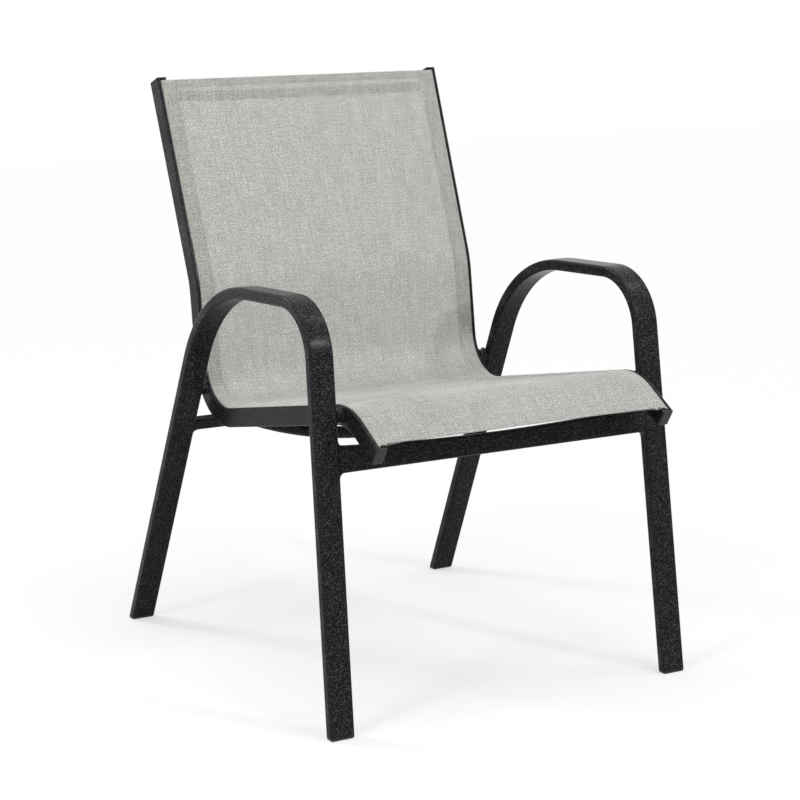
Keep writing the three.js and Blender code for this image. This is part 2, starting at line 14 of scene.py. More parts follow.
import bpy
import numpy as np
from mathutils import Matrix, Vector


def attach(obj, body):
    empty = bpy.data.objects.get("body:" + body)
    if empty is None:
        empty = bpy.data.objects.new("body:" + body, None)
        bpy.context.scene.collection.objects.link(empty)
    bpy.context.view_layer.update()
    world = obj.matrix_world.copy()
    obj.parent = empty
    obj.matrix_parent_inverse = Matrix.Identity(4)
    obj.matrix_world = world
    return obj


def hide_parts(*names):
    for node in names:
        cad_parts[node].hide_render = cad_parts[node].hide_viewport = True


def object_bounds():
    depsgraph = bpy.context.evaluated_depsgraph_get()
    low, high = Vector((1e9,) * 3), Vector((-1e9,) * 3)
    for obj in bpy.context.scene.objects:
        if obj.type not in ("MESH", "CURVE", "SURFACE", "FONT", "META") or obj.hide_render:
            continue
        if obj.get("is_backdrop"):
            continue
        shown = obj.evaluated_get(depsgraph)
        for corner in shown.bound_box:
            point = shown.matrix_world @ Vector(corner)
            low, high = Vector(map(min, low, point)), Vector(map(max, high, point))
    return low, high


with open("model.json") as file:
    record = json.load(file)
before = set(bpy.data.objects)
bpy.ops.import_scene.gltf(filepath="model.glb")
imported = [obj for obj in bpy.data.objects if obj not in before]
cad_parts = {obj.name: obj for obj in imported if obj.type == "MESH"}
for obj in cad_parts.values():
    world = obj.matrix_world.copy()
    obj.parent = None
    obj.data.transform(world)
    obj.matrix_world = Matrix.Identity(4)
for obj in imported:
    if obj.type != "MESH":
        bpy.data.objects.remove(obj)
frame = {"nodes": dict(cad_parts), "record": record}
CAD_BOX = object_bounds()
SHARP_ANGLE = radians(38)
ROOT = "root"
COAT_SLOT = "frame_coat"
CLOTH_SLOT = "sling_mesh"
WHITE = (1.0, 1.0, 1.0)
EDGE_SUPPORT = 0.0004
SAME_PLACE = 1e-9

log = logging.getLogger("patio_chair")


class Side(Enum):
    """A side of the chair, as seen by someone who faces it, with the sign of its X."""

    LEFT = -1
    RIGHT = 1

    @property
    def label(self) -> str:
        """Returns the side's name as pieces use it."""
        return self.name.lower()


class End(Enum):
    """An end of a side frame or a rail, with the sign of its Y."""

    FRONT = -1
    REAR = 1

    @property
    def label(self) -> str:
        """Returns the end's name as pieces use it."""
        return self.name.lower()


# Shader helpers


@dataclass(frozen=True)
class Ramp:
    """A smooth change from one range of values to another, held at the ends."""

    low: float
    high: float
    to_low: float = 0.0
    to_high: float = 1.0


class NodeGraph:
    """Short ways to add and join the shader nodes of one material or world."""

    def __init__(self, owner: bpy.types.Material | bpy.types.World) -> None:
        """Clears the nodes of a material or world.

        Args:
            owner: The material or world.
        """
        owner.use_nodes = True
        self.owner = owner
        self.tree = owner.node_tree
        self.tree.nodes.clear()

    def add(self, kind: str, settings: dict | None = None,
            inputs: dict | None = None) -> bpy.types.Node:
        """Adds a node.

        Args:
            kind: The node's type.
            settings: Its own properties.
            inputs: A value or a socket for each named or numbered input.

        Returns:
            The new node.
        """
        node = self.tree.nodes.new(kind)
        for key, value in (settings or {}).items():
            setattr(node, key, value)
        for key, value in (inputs or {}).items():
            self.plug(node.inputs[key], value)
        return node

    def plug(self, socket: bpy.types.NodeSocket, value: object) -> None:
        """Links a socket, or sets its value.

        Args:
            socket: The input socket.
            value: An output socket, a number or a tuple.
        """
        if isinstance(value, bpy.types.NodeSocket):
            self.tree.links.new(value, socket)
        else:
            socket.default_value = value

    def math(self, operation: str, *values: object) -> bpy.types.NodeSocket:
        """Adds a Math node with numbers or sockets as inputs, and returns its output."""
        node = self.add("ShaderNodeMath", {"operation": operation}, dict(enumerate(values)))
        return node.outputs[0]

    def product(self, first: object, *others: object) -> bpy.types.NodeSocket:
        """Multiplies values, one after another.

        Args:
            first: The first value or socket.
            others: The rest, at least one.

        Returns:
            Their product.
        """
        for other in others:
            first = self.math("MULTIPLY", first, other)
        return first

    def remap(self, value: object, ramp: Ramp) -> bpy.types.NodeSocket:
        """Maps a value smoothly from one range to another.

        Args:
            value: The value or socket to map.
            ramp: The two ranges.

        Returns:
            The mapped value.
        """
        node = self.add("ShaderNodeMapRange", {"interpolation_type": "SMOOTHSTEP"}, {
            "Value": value, "From Min": ramp.low, "From Max": ramp.high,
            "To Min": ramp.to_low, "To Max": ramp.to_high})
        return node.outputs["Result"]

    def blend(self, share: object, first: object, second: object) -> bpy.types.NodeSocket:
        """Mixes two colours.

        Args:
            share: How much of the second colour.
            first: The first colour.
            second: The second colour.

        Returns:
            The mixed colour.
        """
        node = self.add("ShaderNodeMix", {"data_type": "RGBA"})
        self.plug(node.inputs["Factor"], share)
        self.plug(node.inputs["A"], rgba(first))
        self.plug(node.inputs["B"], rgba(second))
        return node.outputs["Result"]

    def noise(self, place: bpy.types.NodeSocket, grain: float,
              detail: float = 2.0) -> bpy.types.NodeSocket:
        """Adds a noise texture.

        Args:
            place: The coordinates.
            grain: The size of one blotch in metres.
            detail: How many finer layers it has.

        Returns:
            A value about 0.5.
        """
        node = self.add("ShaderNodeTexNoise", inputs={
            "Vector": place, "Scale": 1 / grain, "Detail": detail})
        return node.outputs["Fac"]

    def bump(self, height: object, depth: float) -> bpy.types.NodeSocket:
        """Returns the normal bumped by a height from 0 to 1, whose relief is the depth in metres."""
        node = self.add("ShaderNodeBump", inputs={"Height": height, "Distance": depth, "Strength": 1.0})
        return node.outputs["Normal"]

    def place(self) -> bpy.types.NodeSocket:
        """Returns the Object coordinates."""
        return self.add("ShaderNodeTexCoord").outputs["Object"]

    def edge(self) -> bpy.types.NodeSocket:
        """Returns the piece's edge attribute."""
        return self.add("ShaderNodeAttribute", {"attribute_name": "edge"}).outputs["Fac"]

    def principled(self, inputs: dict) -> bpy.types.NodeSocket:
        """Adds a Principled shader with these inputs, and returns its output."""
        return self.add("ShaderNodeBsdfPrincipled", inputs=inputs).outputs[0]

    def finish(self, shader: bpy.types.NodeSocket) -> bpy.types.Material:
        """Joins the surface shader to the output, and returns the finished material."""
        self.add("ShaderNodeOutputMaterial", inputs={"Surface": shader})
        return self.owner


def rgba(value: object) -> object:
    """Returns a linear colour of three numbers with its alpha, or a socket as it is."""
    return (*value, 1.0) if isinstance(value, tuple) and len(value) == 3 else value


def seen_by_eye(graph: NodeGraph) -> bpy.types.NodeSocket:
    """Tells the rays that show a surface from those that light other things.

    Args:
        graph: The nodes of a material or world.

    Returns:
        1 for a ray from the camera, a mirror or glass, and 0 for the rest.
    """
    path = graph.add("ShaderNodeLightPath")
    straight = graph.math("MAXIMUM", path.outputs["Is Camera Ray"], path.outputs["Is Glossy Ray"])
    return graph.math("MAXIMUM", straight, path.outputs["Is Transmission Ray"])


# Finishes


@dataclass(frozen=True)
class PowderCoat:
    """Charcoal powder coat with bright flecks, an orange-peel surface and paler rounded edges."""

    name: str = "charcoal_powder_coat"
    dark: tuple = (0.0034, 0.0040, 0.0050)
    pale: tuple = (0.0146, 0.0156, 0.0172)
    fleck: tuple = (0.225, 0.230, 0.240)
    worn_edge: tuple = (0.020, 0.021, 0.022)
    fleck_size: float = 0.0012
    peel_size: float = 0.0017
    peel_detail: float = 3.0
    cluster_size: float = 0.007
    peel_depth: float = 0.00004
    fleck_luck: Ramp = Ramp(0.5, 1.0)
    fleck_dot: Ramp = Ramp(0.2, 0.6, 1.0, 0.0)
    fleck_cluster: Ramp = Ramp(0.32, 0.68, 0.55, 1.0)
    fleck_rise: float = 0.5
    ground: Ramp = Ramp(0.35, 0.7)
    edge_mark: Ramp = Ramp(0.3, 0.75, 0.15, 0.6)
    roughness: Ramp = Ramp(0.2, 0.8, 0.19, 0.31)
    shine: float = 0.08

    def make(self) -> bpy.types.Material:
        """Builds the material.

        Returns:
            The coat, which reads Object coordinates and the piece's edge attribute.
        """
        graph = NodeGraph(bpy.data.materials.new(self.name))
        place = graph.place()
        cells = graph.add("ShaderNodeTexVoronoi", {"feature": "F1"}, {
            "Vector": place, "Scale": 1 / self.fleck_size})
        luck = graph.add("ShaderNodeSeparateColor", inputs={"Color": cells.outputs["Color"]})
        bright = graph.remap(luck.outputs["Red"], self.fleck_luck)
        dot = graph.remap(cells.outputs["Distance"], self.fleck_dot)
        cluster = graph.remap(graph.noise(place, self.cluster_size), self.fleck_cluster)
        flecks = graph.product(bright, dot, cluster)
        peel = graph.noise(place, self.peel_size, self.peel_detail)
        ground = graph.blend(graph.remap(peel, self.ground), self.dark, self.pale)
        edge_blend = graph.product(graph.edge(), graph.remap(peel, self.edge_mark))
        height = graph.math("ADD", peel, graph.product(flecks, self.fleck_rise))
        return graph.finish(graph.principled({
            "Base Color": graph.blend(edge_blend, graph.blend(flecks, ground, self.fleck), self.worn_edge),
            "Roughness": graph.remap(peel, self.roughness),
            "Specular IOR Level": self.shine,
            "Normal": graph.bump(height, self.peel_depth),
        }))


@dataclass(frozen=True)
class MouldedPlastic:
    """Moulded plastic with a fine spark-eroded grain and edges of another shade: paler edges are rubbed,
    and darker edges are painted shade on the rounded rim.
    """

    name: str
    colour: tuple
    # Above 1 the edges are paler where rubbed; below 1 they are darker, as painted shade.
    edge_wear_and_shade_gain: float = 1.5
    deep_gain: float = 0.86
    grain_size: float = 0.0006
    grain_detail: float = 3.0
    grain_depth: float = 0.00003
    cloud_size: float = 0.012
    cloud: Ramp = Ramp(0.3, 0.7)
    edge_mark: Ramp = Ramp(0.3, 0.7, 0.2, 0.7)
    roughness: Ramp = Ramp(0.25, 0.75, 0.44, 0.58)
    shine: float = 0.35

    def make(self) -> bpy.types.Material:
        """Builds the material.

        Returns:
            The plastic, which reads Object coordinates and the piece's edge attribute.
        """
        graph = NodeGraph(bpy.data.materials.new(self.name))
        place = graph.place()
        grain = graph.noise(place, self.grain_size, self.grain_detail)
        cloud = graph.noise(place, self.cloud_size)
        deep = tuple(self.deep_gain * c for c in self.colour)
        pale = tuple(self.edge_wear_and_shade_gain * c for c in self.colour)
        body = graph.blend(graph.remap(cloud, self.cloud), deep, self.colour)
        # Edge colour: rubbed paler edges, or painted shade where the edge colour is the darker one.
        edge_blend = graph.product(graph.edge(), graph.remap(grain, self.edge_mark))
        return graph.finish(graph.principled({
            "Base Color": graph.blend(edge_blend, body, pale),
            "Roughness": graph.remap(grain, self.roughness),
            "Specular IOR Level": self.shine,
            "Normal": graph.bump(grain, self.grain_depth),
        }))


@dataclass(frozen=True)
class MeshFabric:
    """Coated mesh cloth: flat warp yarns along the chair cross weft yarns, with small openings between.

    In cells, warp is sin(pi u) and weft is sin(pi v). Where their product is above zero a warp yarn lies
    on top, elsewhere a weft yarn does, and the yarns part at the corners, where both are near zero.
    """

    name: str = "light_grey_mesh"
    warp: tuple = (0.705, 0.705, 0.655)
    # Painted shade: the weft's colour is far darker than the warp's because it lies recessed under the
    # warp.
    weft: tuple = (0.212, 0.212, 0.195)
    # Painted shade: the colour that the grooves between the yarns and the openings take.
    crevice_shade: tuple = (0.085, 0.085, 0.077)
    cell_across: float = 0.0016
    cell_along: float = 0.0015
    yarn_depth: float = 0.00022
    yarn_change: Ramp = Ramp(-0.2, 0.2)
    crevice_shade_share: Ramp = Ramp(0.0, 0.6, 0.9, 0.0)
    opening: Ramp = Ramp(0.3, 1.0, 0.9, 0.0)
    opening_reach: Ramp = Ramp(0.0, 1.0, 0.62, 1.35)
    streak_size: float = 0.0018
    streak_detail: float = 1.0
    streak_keep: float = 0.05
    streak_rise: float = 0.25
    streak_tone: Ramp = Ramp(0.6, 1.4, 0.80, 1.18)
    band_size: float = 0.012
    band_detail: float = 2.0
    band_keep: float = 0.08
    band_tone: Ramp = Ramp(0.3, 0.7, 0.955, 1.04)
    speck_size: float = 0.0028
    speck_tone: Ramp = Ramp(0.3, 0.7, 0.80, 1.19)
    knot_size: float = 0.0012
    knot_detail: float = 1.0
    knot_tone: Ramp = Ramp(0.3, 0.7, 0.58, 1.42)
    roughness: Ramp = Ramp(0.0, 1.0, 0.87, 0.72)
    shine: float = 0.3
    sheen: float = 0.5

    def make(self, hem_reach: float, front_hem: float, top_hem: float) -> bpy.types.Material:
        """Builds the material.

        The piece's edge attribute is 1 on the underside. Openings are wider there, so that a slanting
        look through an opening of the upper side also gets through the lower one.

        Args:
            hem_reach: Distance from the middle to the side hems' inner edges.
            front_hem: Length at which the front hem ends.
            top_hem: Length at which the top hem starts.

        Returns:
            The cloth, which reads the piece's UV map in metres, across and along the cloth.
        """
        graph = NodeGraph(bpy.data.materials.new(self.name))
        cloth = graph.add("ShaderNodeUVMap", {"uv_map": "cloth"}).outputs["UV"]
        place = graph.add("ShaderNodeSeparateXYZ", inputs={"Vector": cloth})
        across, along = place.outputs["X"], place.outputs["Y"]
        warp = graph.math("SINE", graph.product(across, pi / self.cell_across))
        weft = graph.math("SINE", graph.product(along, pi / self.cell_along))
        over = graph.product(warp, weft)
        relief = graph.math("SQRT", graph.math("ABSOLUTE", over))
        hole = self.openings(graph, warp, weft)
        single = graph.product(
            graph.math("LESS_THAN", graph.math("ABSOLUTE", across), hem_reach),
            graph.math("GREATER_THAN", along, front_hem),
            graph.math("LESS_THAN", along, top_hem))
        streak = graph.math("ADD", *(
            self.streaks(graph, cloth, keep, self.streak_size, self.streak_detail)
            for keep in ((1.0, self.streak_keep), (self.streak_keep, 1.0))))
        # Painted shade: low relief between the yarns and the openings darken towards the crevice colour,
        # which stands in for the shade inside them.
        deep = graph.math("MAXIMUM", graph.remap(relief, self.crevice_shade_share), hole)
        # Painted shade: where the weft lies on top, the darker weft colour stands in for its shade.
        yarns = graph.blend(graph.remap(over, self.yarn_change), self.weft, self.warp)
        toned = graph.add("ShaderNodeVectorMath", {"operation": "SCALE"}, {
            "Vector": graph.blend(deep, yarns, self.crevice_shade), "Scale": self.tone(graph, cloth, streak)})
        height = graph.math("ADD", relief, graph.product(streak, self.streak_rise))
        return graph.finish(graph.principled({
            "Base Color": toned.outputs[0],
            "Roughness": graph.remap(relief, self.roughness),
            "Specular IOR Level": self.shine,
            "Sheen Weight": self.sheen,
            "Alpha": graph.math("SUBTRACT", 1.0, graph.product(hole, single)),
            "Normal": graph.bump(height, self.yarn_depth),
        }))

    def openings(self, graph: NodeGraph, warp: bpy.types.NodeSocket,
                 weft: bpy.types.NodeSocket) -> bpy.types.NodeSocket:
        """Opens the cloth where warp^2 + weft^2 is small, further on the underside.

        Args:
            graph: The material's nodes.
            warp: The warp's wave.
            weft: The weft's wave.

        Returns:
            How open the cloth is, from 0 to 1.
        """
        parted = graph.math("ADD", graph.product(warp, warp), graph.product(weft, weft))
        reach = graph.remap(graph.edge(), self.opening_reach)
        return graph.remap(graph.math("DIVIDE", parted, reach), self.opening)

    def tone(self, graph: NodeGraph, cloth: bpy.types.NodeSocket,
             streak: bpy.types.NodeSocket) -> bpy.types.NodeSocket:
        """Varies the yarns' brightness by streaks along single yarns, slow bands, specks and knots.

        Args:
            graph: The material's nodes.
            cloth: The coordinates.
            streak: The streaks.

        Returns:
            The share of the colour's brightness.
        """
        band = self.streaks(graph, cloth, (1.0, self.band_keep), self.band_size, self.band_detail)
        return graph.product(
            graph.remap(streak, self.streak_tone),
            graph.remap(band, self.band_tone),
            graph.remap(graph.noise(cloth, self.speck_size), self.speck_tone),
            graph.remap(graph.noise(cloth, self.knot_size, self.knot_detail), self.knot_tone))

    @staticmethod
    def streaks(graph: NodeGraph, cloth: bpy.types.NodeSocket, keep: tuple[float, float], size: float,
                detail: float) -> bpy.types.NodeSocket:
        """Draws a noise out into streaks along or across the cloth.

        Args:
            graph: The material's nodes.
            cloth: The coordinates.
            keep: The share of them that is kept across and along the cloth.
            size: How wide a streak is.
            detail: How many finer layers the noise has.

        Returns:
            A value about 0.5.
        """
        node = graph.add("ShaderNodeMapping", inputs={"Vector": cloth, "Scale": (*keep, 1.0)})
        return graph.noise(node.outputs[0], size, detail)


@dataclass(frozen=True)
class SewingThread:
    """Twisted polyester thread, a little paler than the cloth."""

    name: str = "grey_thread"
    colour: tuple = (0.42, 0.42, 0.40)
    dark_gain: float = 0.7
    ply: Ramp = Ramp(0.3, 0.7)
    twist: float = 0.0007
    twist_depth: float = 0.00004
    roughness: Ramp = Ramp(0.3, 0.7, 0.6, 0.75)
    sheen: float = 0.1

    def make(self) -> bpy.types.Material:
        """Builds the material.

        Returns:
            The thread, which reads Object coordinates.
        """
        graph = NodeGraph(bpy.data.materials.new(self.name))
        place = graph.place()
        ply = graph.noise(place, self.twist)
        dark = tuple(self.dark_gain * c for c in self.colour)
        return graph.finish(graph.principled({
            "Base Color": graph.blend(graph.remap(ply, self.ply), dark, self.colour),
            "Roughness": graph.remap(ply, self.roughness),
            "Sheen Weight": self.sheen,
            "Normal": graph.bump(ply, self.twist_depth),
        }))


@dataclass(frozen=True)
class StudioFloor:
    """White floor that keeps the chair's shadow and fades into the white backdrop away from it."""

    name: str = "white_studio_floor"
    colour: tuple = (0.97, 0.97, 0.96)
    pale_gain: float = 0.995
    thrown_back: tuple = (0.5, 0.5, 0.5)
    glow: Ramp = Ramp(0.5, 1.1, 0.56, 0.97)
    cloud_size: float = 0.4
    roughness: float = 0.9
    shine: float = 0.1

    def make(self) -> bpy.types.Material:
        """Builds the material.

        Returns:
            The floor, which glows a little so that the shadows near the chair stay soft.
        """
        graph = NodeGraph(bpy.data.materials.new(self.name))
        place = graph.place()
        reach = graph.add("ShaderNodeVectorMath", {"operation": "LENGTH"}, {"Vector": place})
        fade = graph.remap(reach.outputs["Value"], self.glow)
        pale = tuple(self.pale_gain * c for c in self.colour)
        plain = graph.blend(graph.noise(place, self.cloud_size), self.colour, pale)
        seen = seen_by_eye(graph)
        diffuse = graph.principled({
            "Base Color": graph.blend(seen, self.thrown_back, plain),
            "Roughness": self.roughness,
            "Specular IOR Level": self.shine,
        })
        white = graph.add("ShaderNodeEmission", inputs={"Color": rgba(WHITE), "Strength": 1.0})
        mixed = graph.add("ShaderNodeMixShader", inputs={
            0: graph.product(fade, seen), 1: diffuse, 2: white.outputs[0]})
        return graph.finish(mixed.outputs[0])


# Lines, outlines and surfaces


@dataclass(frozen=True)
class BentLine:
    """Line in the Y-Z plane: straight runs between corners, each corner rounded by an arc."""

    corners: np.ndarray
    radii: tuple[float, ...]

    def stretches(self) -> list[tuple[float, float, np.ndarray, float, float]]:
        """Cuts the line into its runs and arcs.

        An arc of radius R at a corner where the heading turns by a takes R * tan(a / 2) off both runs.

        Returns:
            For each stretch its start along the line, length, first point, heading and curvature.
        """
        steps = np.diff(self.corners, axis=0)
        headings = np.unwrap(np.arctan2(steps[:, 1], steps[:, 0]))
        turns = np.diff(headings)
        cuts = np.concatenate([[0.0], np.array(self.radii) * np.tan(np.abs(turns) / 2), [0.0]])
        found, start, place = [], 0.0, self.corners[0]
        for i, heading in enumerate(headings):
            run = hypot(*steps[i]) - cuts[i] - cuts[i + 1]
            found.append((start, run, place, heading, 0.0))
            start, place = start + run, place + run * np.array([cos(heading), sin(heading)])
            if i < len(turns):
                curve = np.sign(turns[i]) / self.radii[i]
                found.append((start, turns[i] / curve, place, heading, curve))
                swing = [sin(headings[i + 1]) - sin(heading), cos(heading) - cos(headings[i + 1])]
                start, place = start + turns[i] / curve, place + np.array(swing) / curve
        return found

    @property
    def length(self) -> float:
        """Returns the length of the whole line."""
        start, run = self.stretches()[-1][:2]
        return start + run

    def at(self, lengths: np.ndarray) -> tuple[np.ndarray, np.ndarray]:
        """Finds places on the line.

        On an arc of curvature k from heading a, the heading is a + k s and the place is the first point
        plus (sin(a + k s) - sin a, cos a - cos(a + k s)) / k.

        Args:
            lengths: Distances along the line.

        Returns:
            The points and the unit tangents there, as Y and Z.
        """
        points = np.zeros((len(lengths), 2))
        tangents = np.zeros_like(points)
        for start, run, place, heading, curve in self.stretches():
            here = (lengths >= start - SAME_PLACE) & (lengths <= start + run + SAME_PLACE)
            gone = lengths[here] - start
            angle = heading + curve * gone
            tangents[here] = np.stack([np.cos(angle), np.sin(angle)], axis=1)
            if curve:
                swing = np.stack([np.sin(angle) - sin(heading), cos(heading) - np.cos(angle)], axis=1)
                points[here] = place + swing / curve
            else:
                points[here] = place + gone[:, None] * tangents[here]
        return points, tangents

    def stations(self, bend_step: float, run_step: float) -> np.ndarray:
        """Spreads stations along the line.

        Args:
            bend_step: The most that the line turns between two stations, in radians.
            run_step: The longest step on a straight run.

        Returns:
            The distances along the line.
        """
        marks = []
        for start, run, _, _, curve in self.stretches():
            count = max(1, int(np.ceil(abs(run * curve) / bend_step if curve else run / run_step)))
            marks.append(start + run * np.arange(count) / count)
        return np.append(np.concatenate(marks), self.length)


def quarter_round(count: int) -> np.ndarray:
    """Returns 1 - cos a for even angles a up to a right angle, the depths along a quarter round."""
    return 1 - np.cos(np.linspace(0, pi / 2, count))


def full_turn(count: int) -> np.ndarray:
    """Returns even angles once round."""
    return np.linspace(0, 2 * pi, count, endpoint=False)


def arc(centre: tuple[float, float], radius: float, start: float, turn: float, facets: int = 5,
        support: float = EDGE_SUPPORT, edge: float = 1.0) -> np.ndarray:
    """Arc of an outline, with a point a little way out on the flat before and after it.

    Args:
        centre: The arc's centre.
        radius: Its radius.
        start: The angle of its first point.
        turn: How far it turns, anticlockwise above zero.
        facets: How many steps it has.
        support: How far out the two further points lie, none at zero.
        edge: How much of an edge it is, for the wear.

    Returns:
        Rows of x, y and edge share.
    """
    angle = start + turn * np.linspace(0, 1, facets + 1)
    ring = np.stack([np.cos(angle), np.sin(angle)], axis=1)
    ahead = np.sign(turn) * np.stack([-np.sin(angle), np.cos(angle)], axis=1)
    places = np.array(centre) + radius * ring
    if support:
        places = np.vstack([places[0] - support * ahead[0], places, places[-1] + support * ahead[-1]])
    shares = np.full(len(places), edge)
    if support:
        shares[[0, -1]] = 0.0
    return np.column_stack([places, shares])


def rounded_rectangle(width: float, height: float, corner: float,
                      facets: int = 5, step: float = 0.0) -> np.ndarray:
    """Rounded rectangle about the origin.

    Args:
        width: Its size along x.
        height: Its size along y.
        corner: The radius of its corners.
        facets: Steps in each corner.
        step: The longest straight step, or zero to leave the flats whole.

    Returns:
        Rows of x, y and edge share.
    """
    parts = []
    for i, (right, up) in enumerate([(1, 1), (-1, 1), (-1, -1), (1, -1)]):
        centre = (right * (width / 2 - corner), up * (height / 2 - corner))
        parts.append(arc(centre, corner, i * pi / 2, pi / 2, facets, min(EDGE_SUPPORT, corner / 4)))
    outline = np.vstack(parts)
    return refined(outline, step) if step else outline


def refined(outline: np.ndarray, step: float) -> np.ndarray:
    """Adds points on the long straights of a closed outline.

    Args:
        outline: Rows of x, y and edge share.
        step: The longest step that stays.

    Returns:
        The outline with evenly spaced points between its own.
    """
    closed = np.vstack([outline, outline[:1]])
    gone = np.concatenate([[0.0], np.cumsum(np.hypot(*np.diff(closed[:, :2], axis=0).T))])
    counts = np.maximum(1, np.ceil(np.diff(gone) / step).astype(int))
    marks = np.repeat(gone[:-1], counts)
    inner = np.arange(counts.sum()) - np.repeat(np.cumsum(counts) - counts, counts)
    marks = marks + inner * np.repeat(np.diff(gone) / counts, counts)
    return np.column_stack([np.interp(marks, gone, closed[:, i]) for i in range(3)])


def carried(outline: np.ndarray, points: np.ndarray, tangents: np.ndarray) -> np.ndarray:
    """Carries an outline along a line in the Y-Z plane.

    The outline's x stays X, and its y goes along the normal (-tz, ty) of the tangent (ty, tz).

    Args:
        outline: Rows of x, y and edge share.
        points: The line's Y and Z at each station.
        tangents: Its unit tangents there.

    Returns:
        One ring of points for each station.
    """
    x = np.broadcast_to(outline[:, 0], (len(points), len(outline)))
    y = points[:, :1] - tangents[:, 1:] * outline[:, 1]
    z = points[:, 1:] + tangents[:, :1] * outline[:, 1]
    return np.stack([x, y, z], axis=-1)


def slid_to_height(ring: np.ndarray, along: np.ndarray, height: float) -> np.ndarray:
    """Returns a ring cut level: each point slides along a direction until it is at a height."""
    return ring + ((height - ring[..., 2]) / along[2])[..., None] * along


@dataclass(frozen=True)
class Surface:
    """Closed rings of points, one after another, with a flat face over each end."""

    rings: np.ndarray
    edge: np.ndarray
    cloth: np.ndarray | None = None

    def faces(self) -> tuple[np.ndarray, list[np.ndarray]]:
        """Joins neighbouring rings by quads.

        Returns:
            The quads, and the two end faces.
        """
        count, around = self.rings.shape[:2]
        index = np.arange(count * around).reshape(count, around)
        beside = np.roll(index, -1, axis=1)
        quads = np.stack([index[:-1], beside[:-1], beside[1:], index[1:]], axis=-1).reshape(-1, 4)
        return quads, [index[0][::-1], index[-1]]

    def volume(self) -> float:
        """Adds up the signed pyramids from the middle of all points to each face, six times over.

        Returns:
            A number above zero if the faces point out.
        """
        quads, ends = self.faces()
        points = self.rings.reshape(-1, 3) - self.rings.reshape(-1, 3).mean(axis=0)
        a, b, c, d = (points[quads[:, i]] for i in range(4))
        total = (a * np.cross(b, c)).sum() + (a * np.cross(c, d)).sum()
        for end in ends:
            centre, rim = points[end].mean(axis=0), points[end]
            total += (centre * np.cross(rim, np.roll(rim, -1, axis=0))).sum()
        return float(total)

    def build(self, name: str, material: bpy.types.Material, slot: str,
              *nodes: str) -> bpy.types.Object:
        """Makes the piece, at the origin, with its place in its mesh, and fixes it to the chair.

        Args:
            name: The piece's name.
            material: Its material.
            slot: The record's material slot.
            nodes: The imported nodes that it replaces.

        Returns:
            The piece.
        """
        quads, ends = self.faces()
        faces = [*quads.tolist(), *[end.tolist() for end in ends]]
        if self.volume() < 0:
            faces = [face[::-1] for face in faces]
        piece = made(name, self.rings.reshape(-1, 3), faces, material, self.edge, self.cloth)
        return seated(piece, slot, *nodes)


def made(name: str, points: np.ndarray, faces: list, material: bpy.types.Material,
         edge: np.ndarray | None = None, cloth: np.ndarray | None = None) -> bpy.types.Object:
    """Puts points and faces into a smooth-shaded mesh object.

    Args:
        name: The piece's name.
        points: Its vertices.
        faces: Its faces, as lists of vertex numbers.
        material: Its material.
        edge: The share of edge colour at each vertex, which shows rubbed edges on most pieces and painted
            shade round the grey nose caps' rims, or for the cloth 1 on its underside.
        cloth: The place on the flat cloth of each vertex.

    Returns:
        The new piece.
    """
    mesh = bpy.data.meshes.new(name)
    mesh.from_pydata(points.tolist(), [], faces)
    if edge is not None:
        edge_mark = mesh.attributes.new("edge", "FLOAT", "POINT")
        edge_mark.data.foreach_set("value", edge.astype(np.float32).ravel())
    if cloth is not None:
        corners = np.zeros(len(mesh.loops), np.int32)
        mesh.loops.foreach_get("vertex_index", corners)
        layer = mesh.uv_layers.new(name="cloth")
        layer.data.foreach_set("uv", cloth.reshape(-1, 2)[corners].astype(np.float32).ravel())
    mesh.materials.append(material)
    mesh.shade_smooth()
    mesh.set_sharp_from_angle(angle=SHARP_ANGLE)
    mesh.validate()
    piece = bpy.data.objects.new(name, mesh)
    bpy.context.scene.collection.objects.link(piece)
    return piece


def seated(piece: bpy.types.Object, slot: str, *nodes: str) -> bpy.types.Object:
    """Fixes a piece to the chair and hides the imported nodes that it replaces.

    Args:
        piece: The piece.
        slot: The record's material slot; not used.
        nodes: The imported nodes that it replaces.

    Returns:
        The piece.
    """
    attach(piece, ROOT)
    if nodes:
        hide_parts(*nodes)
    log.info("%s: %d faces", piece.name, len(piece.data.polygons))
    return piece


def fillet(distance: np.ndarray, radius: float) -> np.ndarray:
    """Height of a concave fillet over its face, at a distance from its corner.

    Inside the radius r it is r - sqrt(r^2 - (r - d)^2), and beyond it nothing.

    Args:
        distance: Distances from the corner.
        radius: The fillet's radius.

    Returns:
        The heights.
    """
    inside = np.clip(radius - distance, 0.0, radius)
    return radius - np.sqrt(radius**2 - inside**2)


def eased(share: np.ndarray) -> np.ndarray:
    """Returns 3 t^2 - 2 t^3 for each share t, held between 0 and 1."""
    held = np.clip(share, 0.0, 1.0)
    return held * held * (3.0 - 2.0 * held)


# Side frames


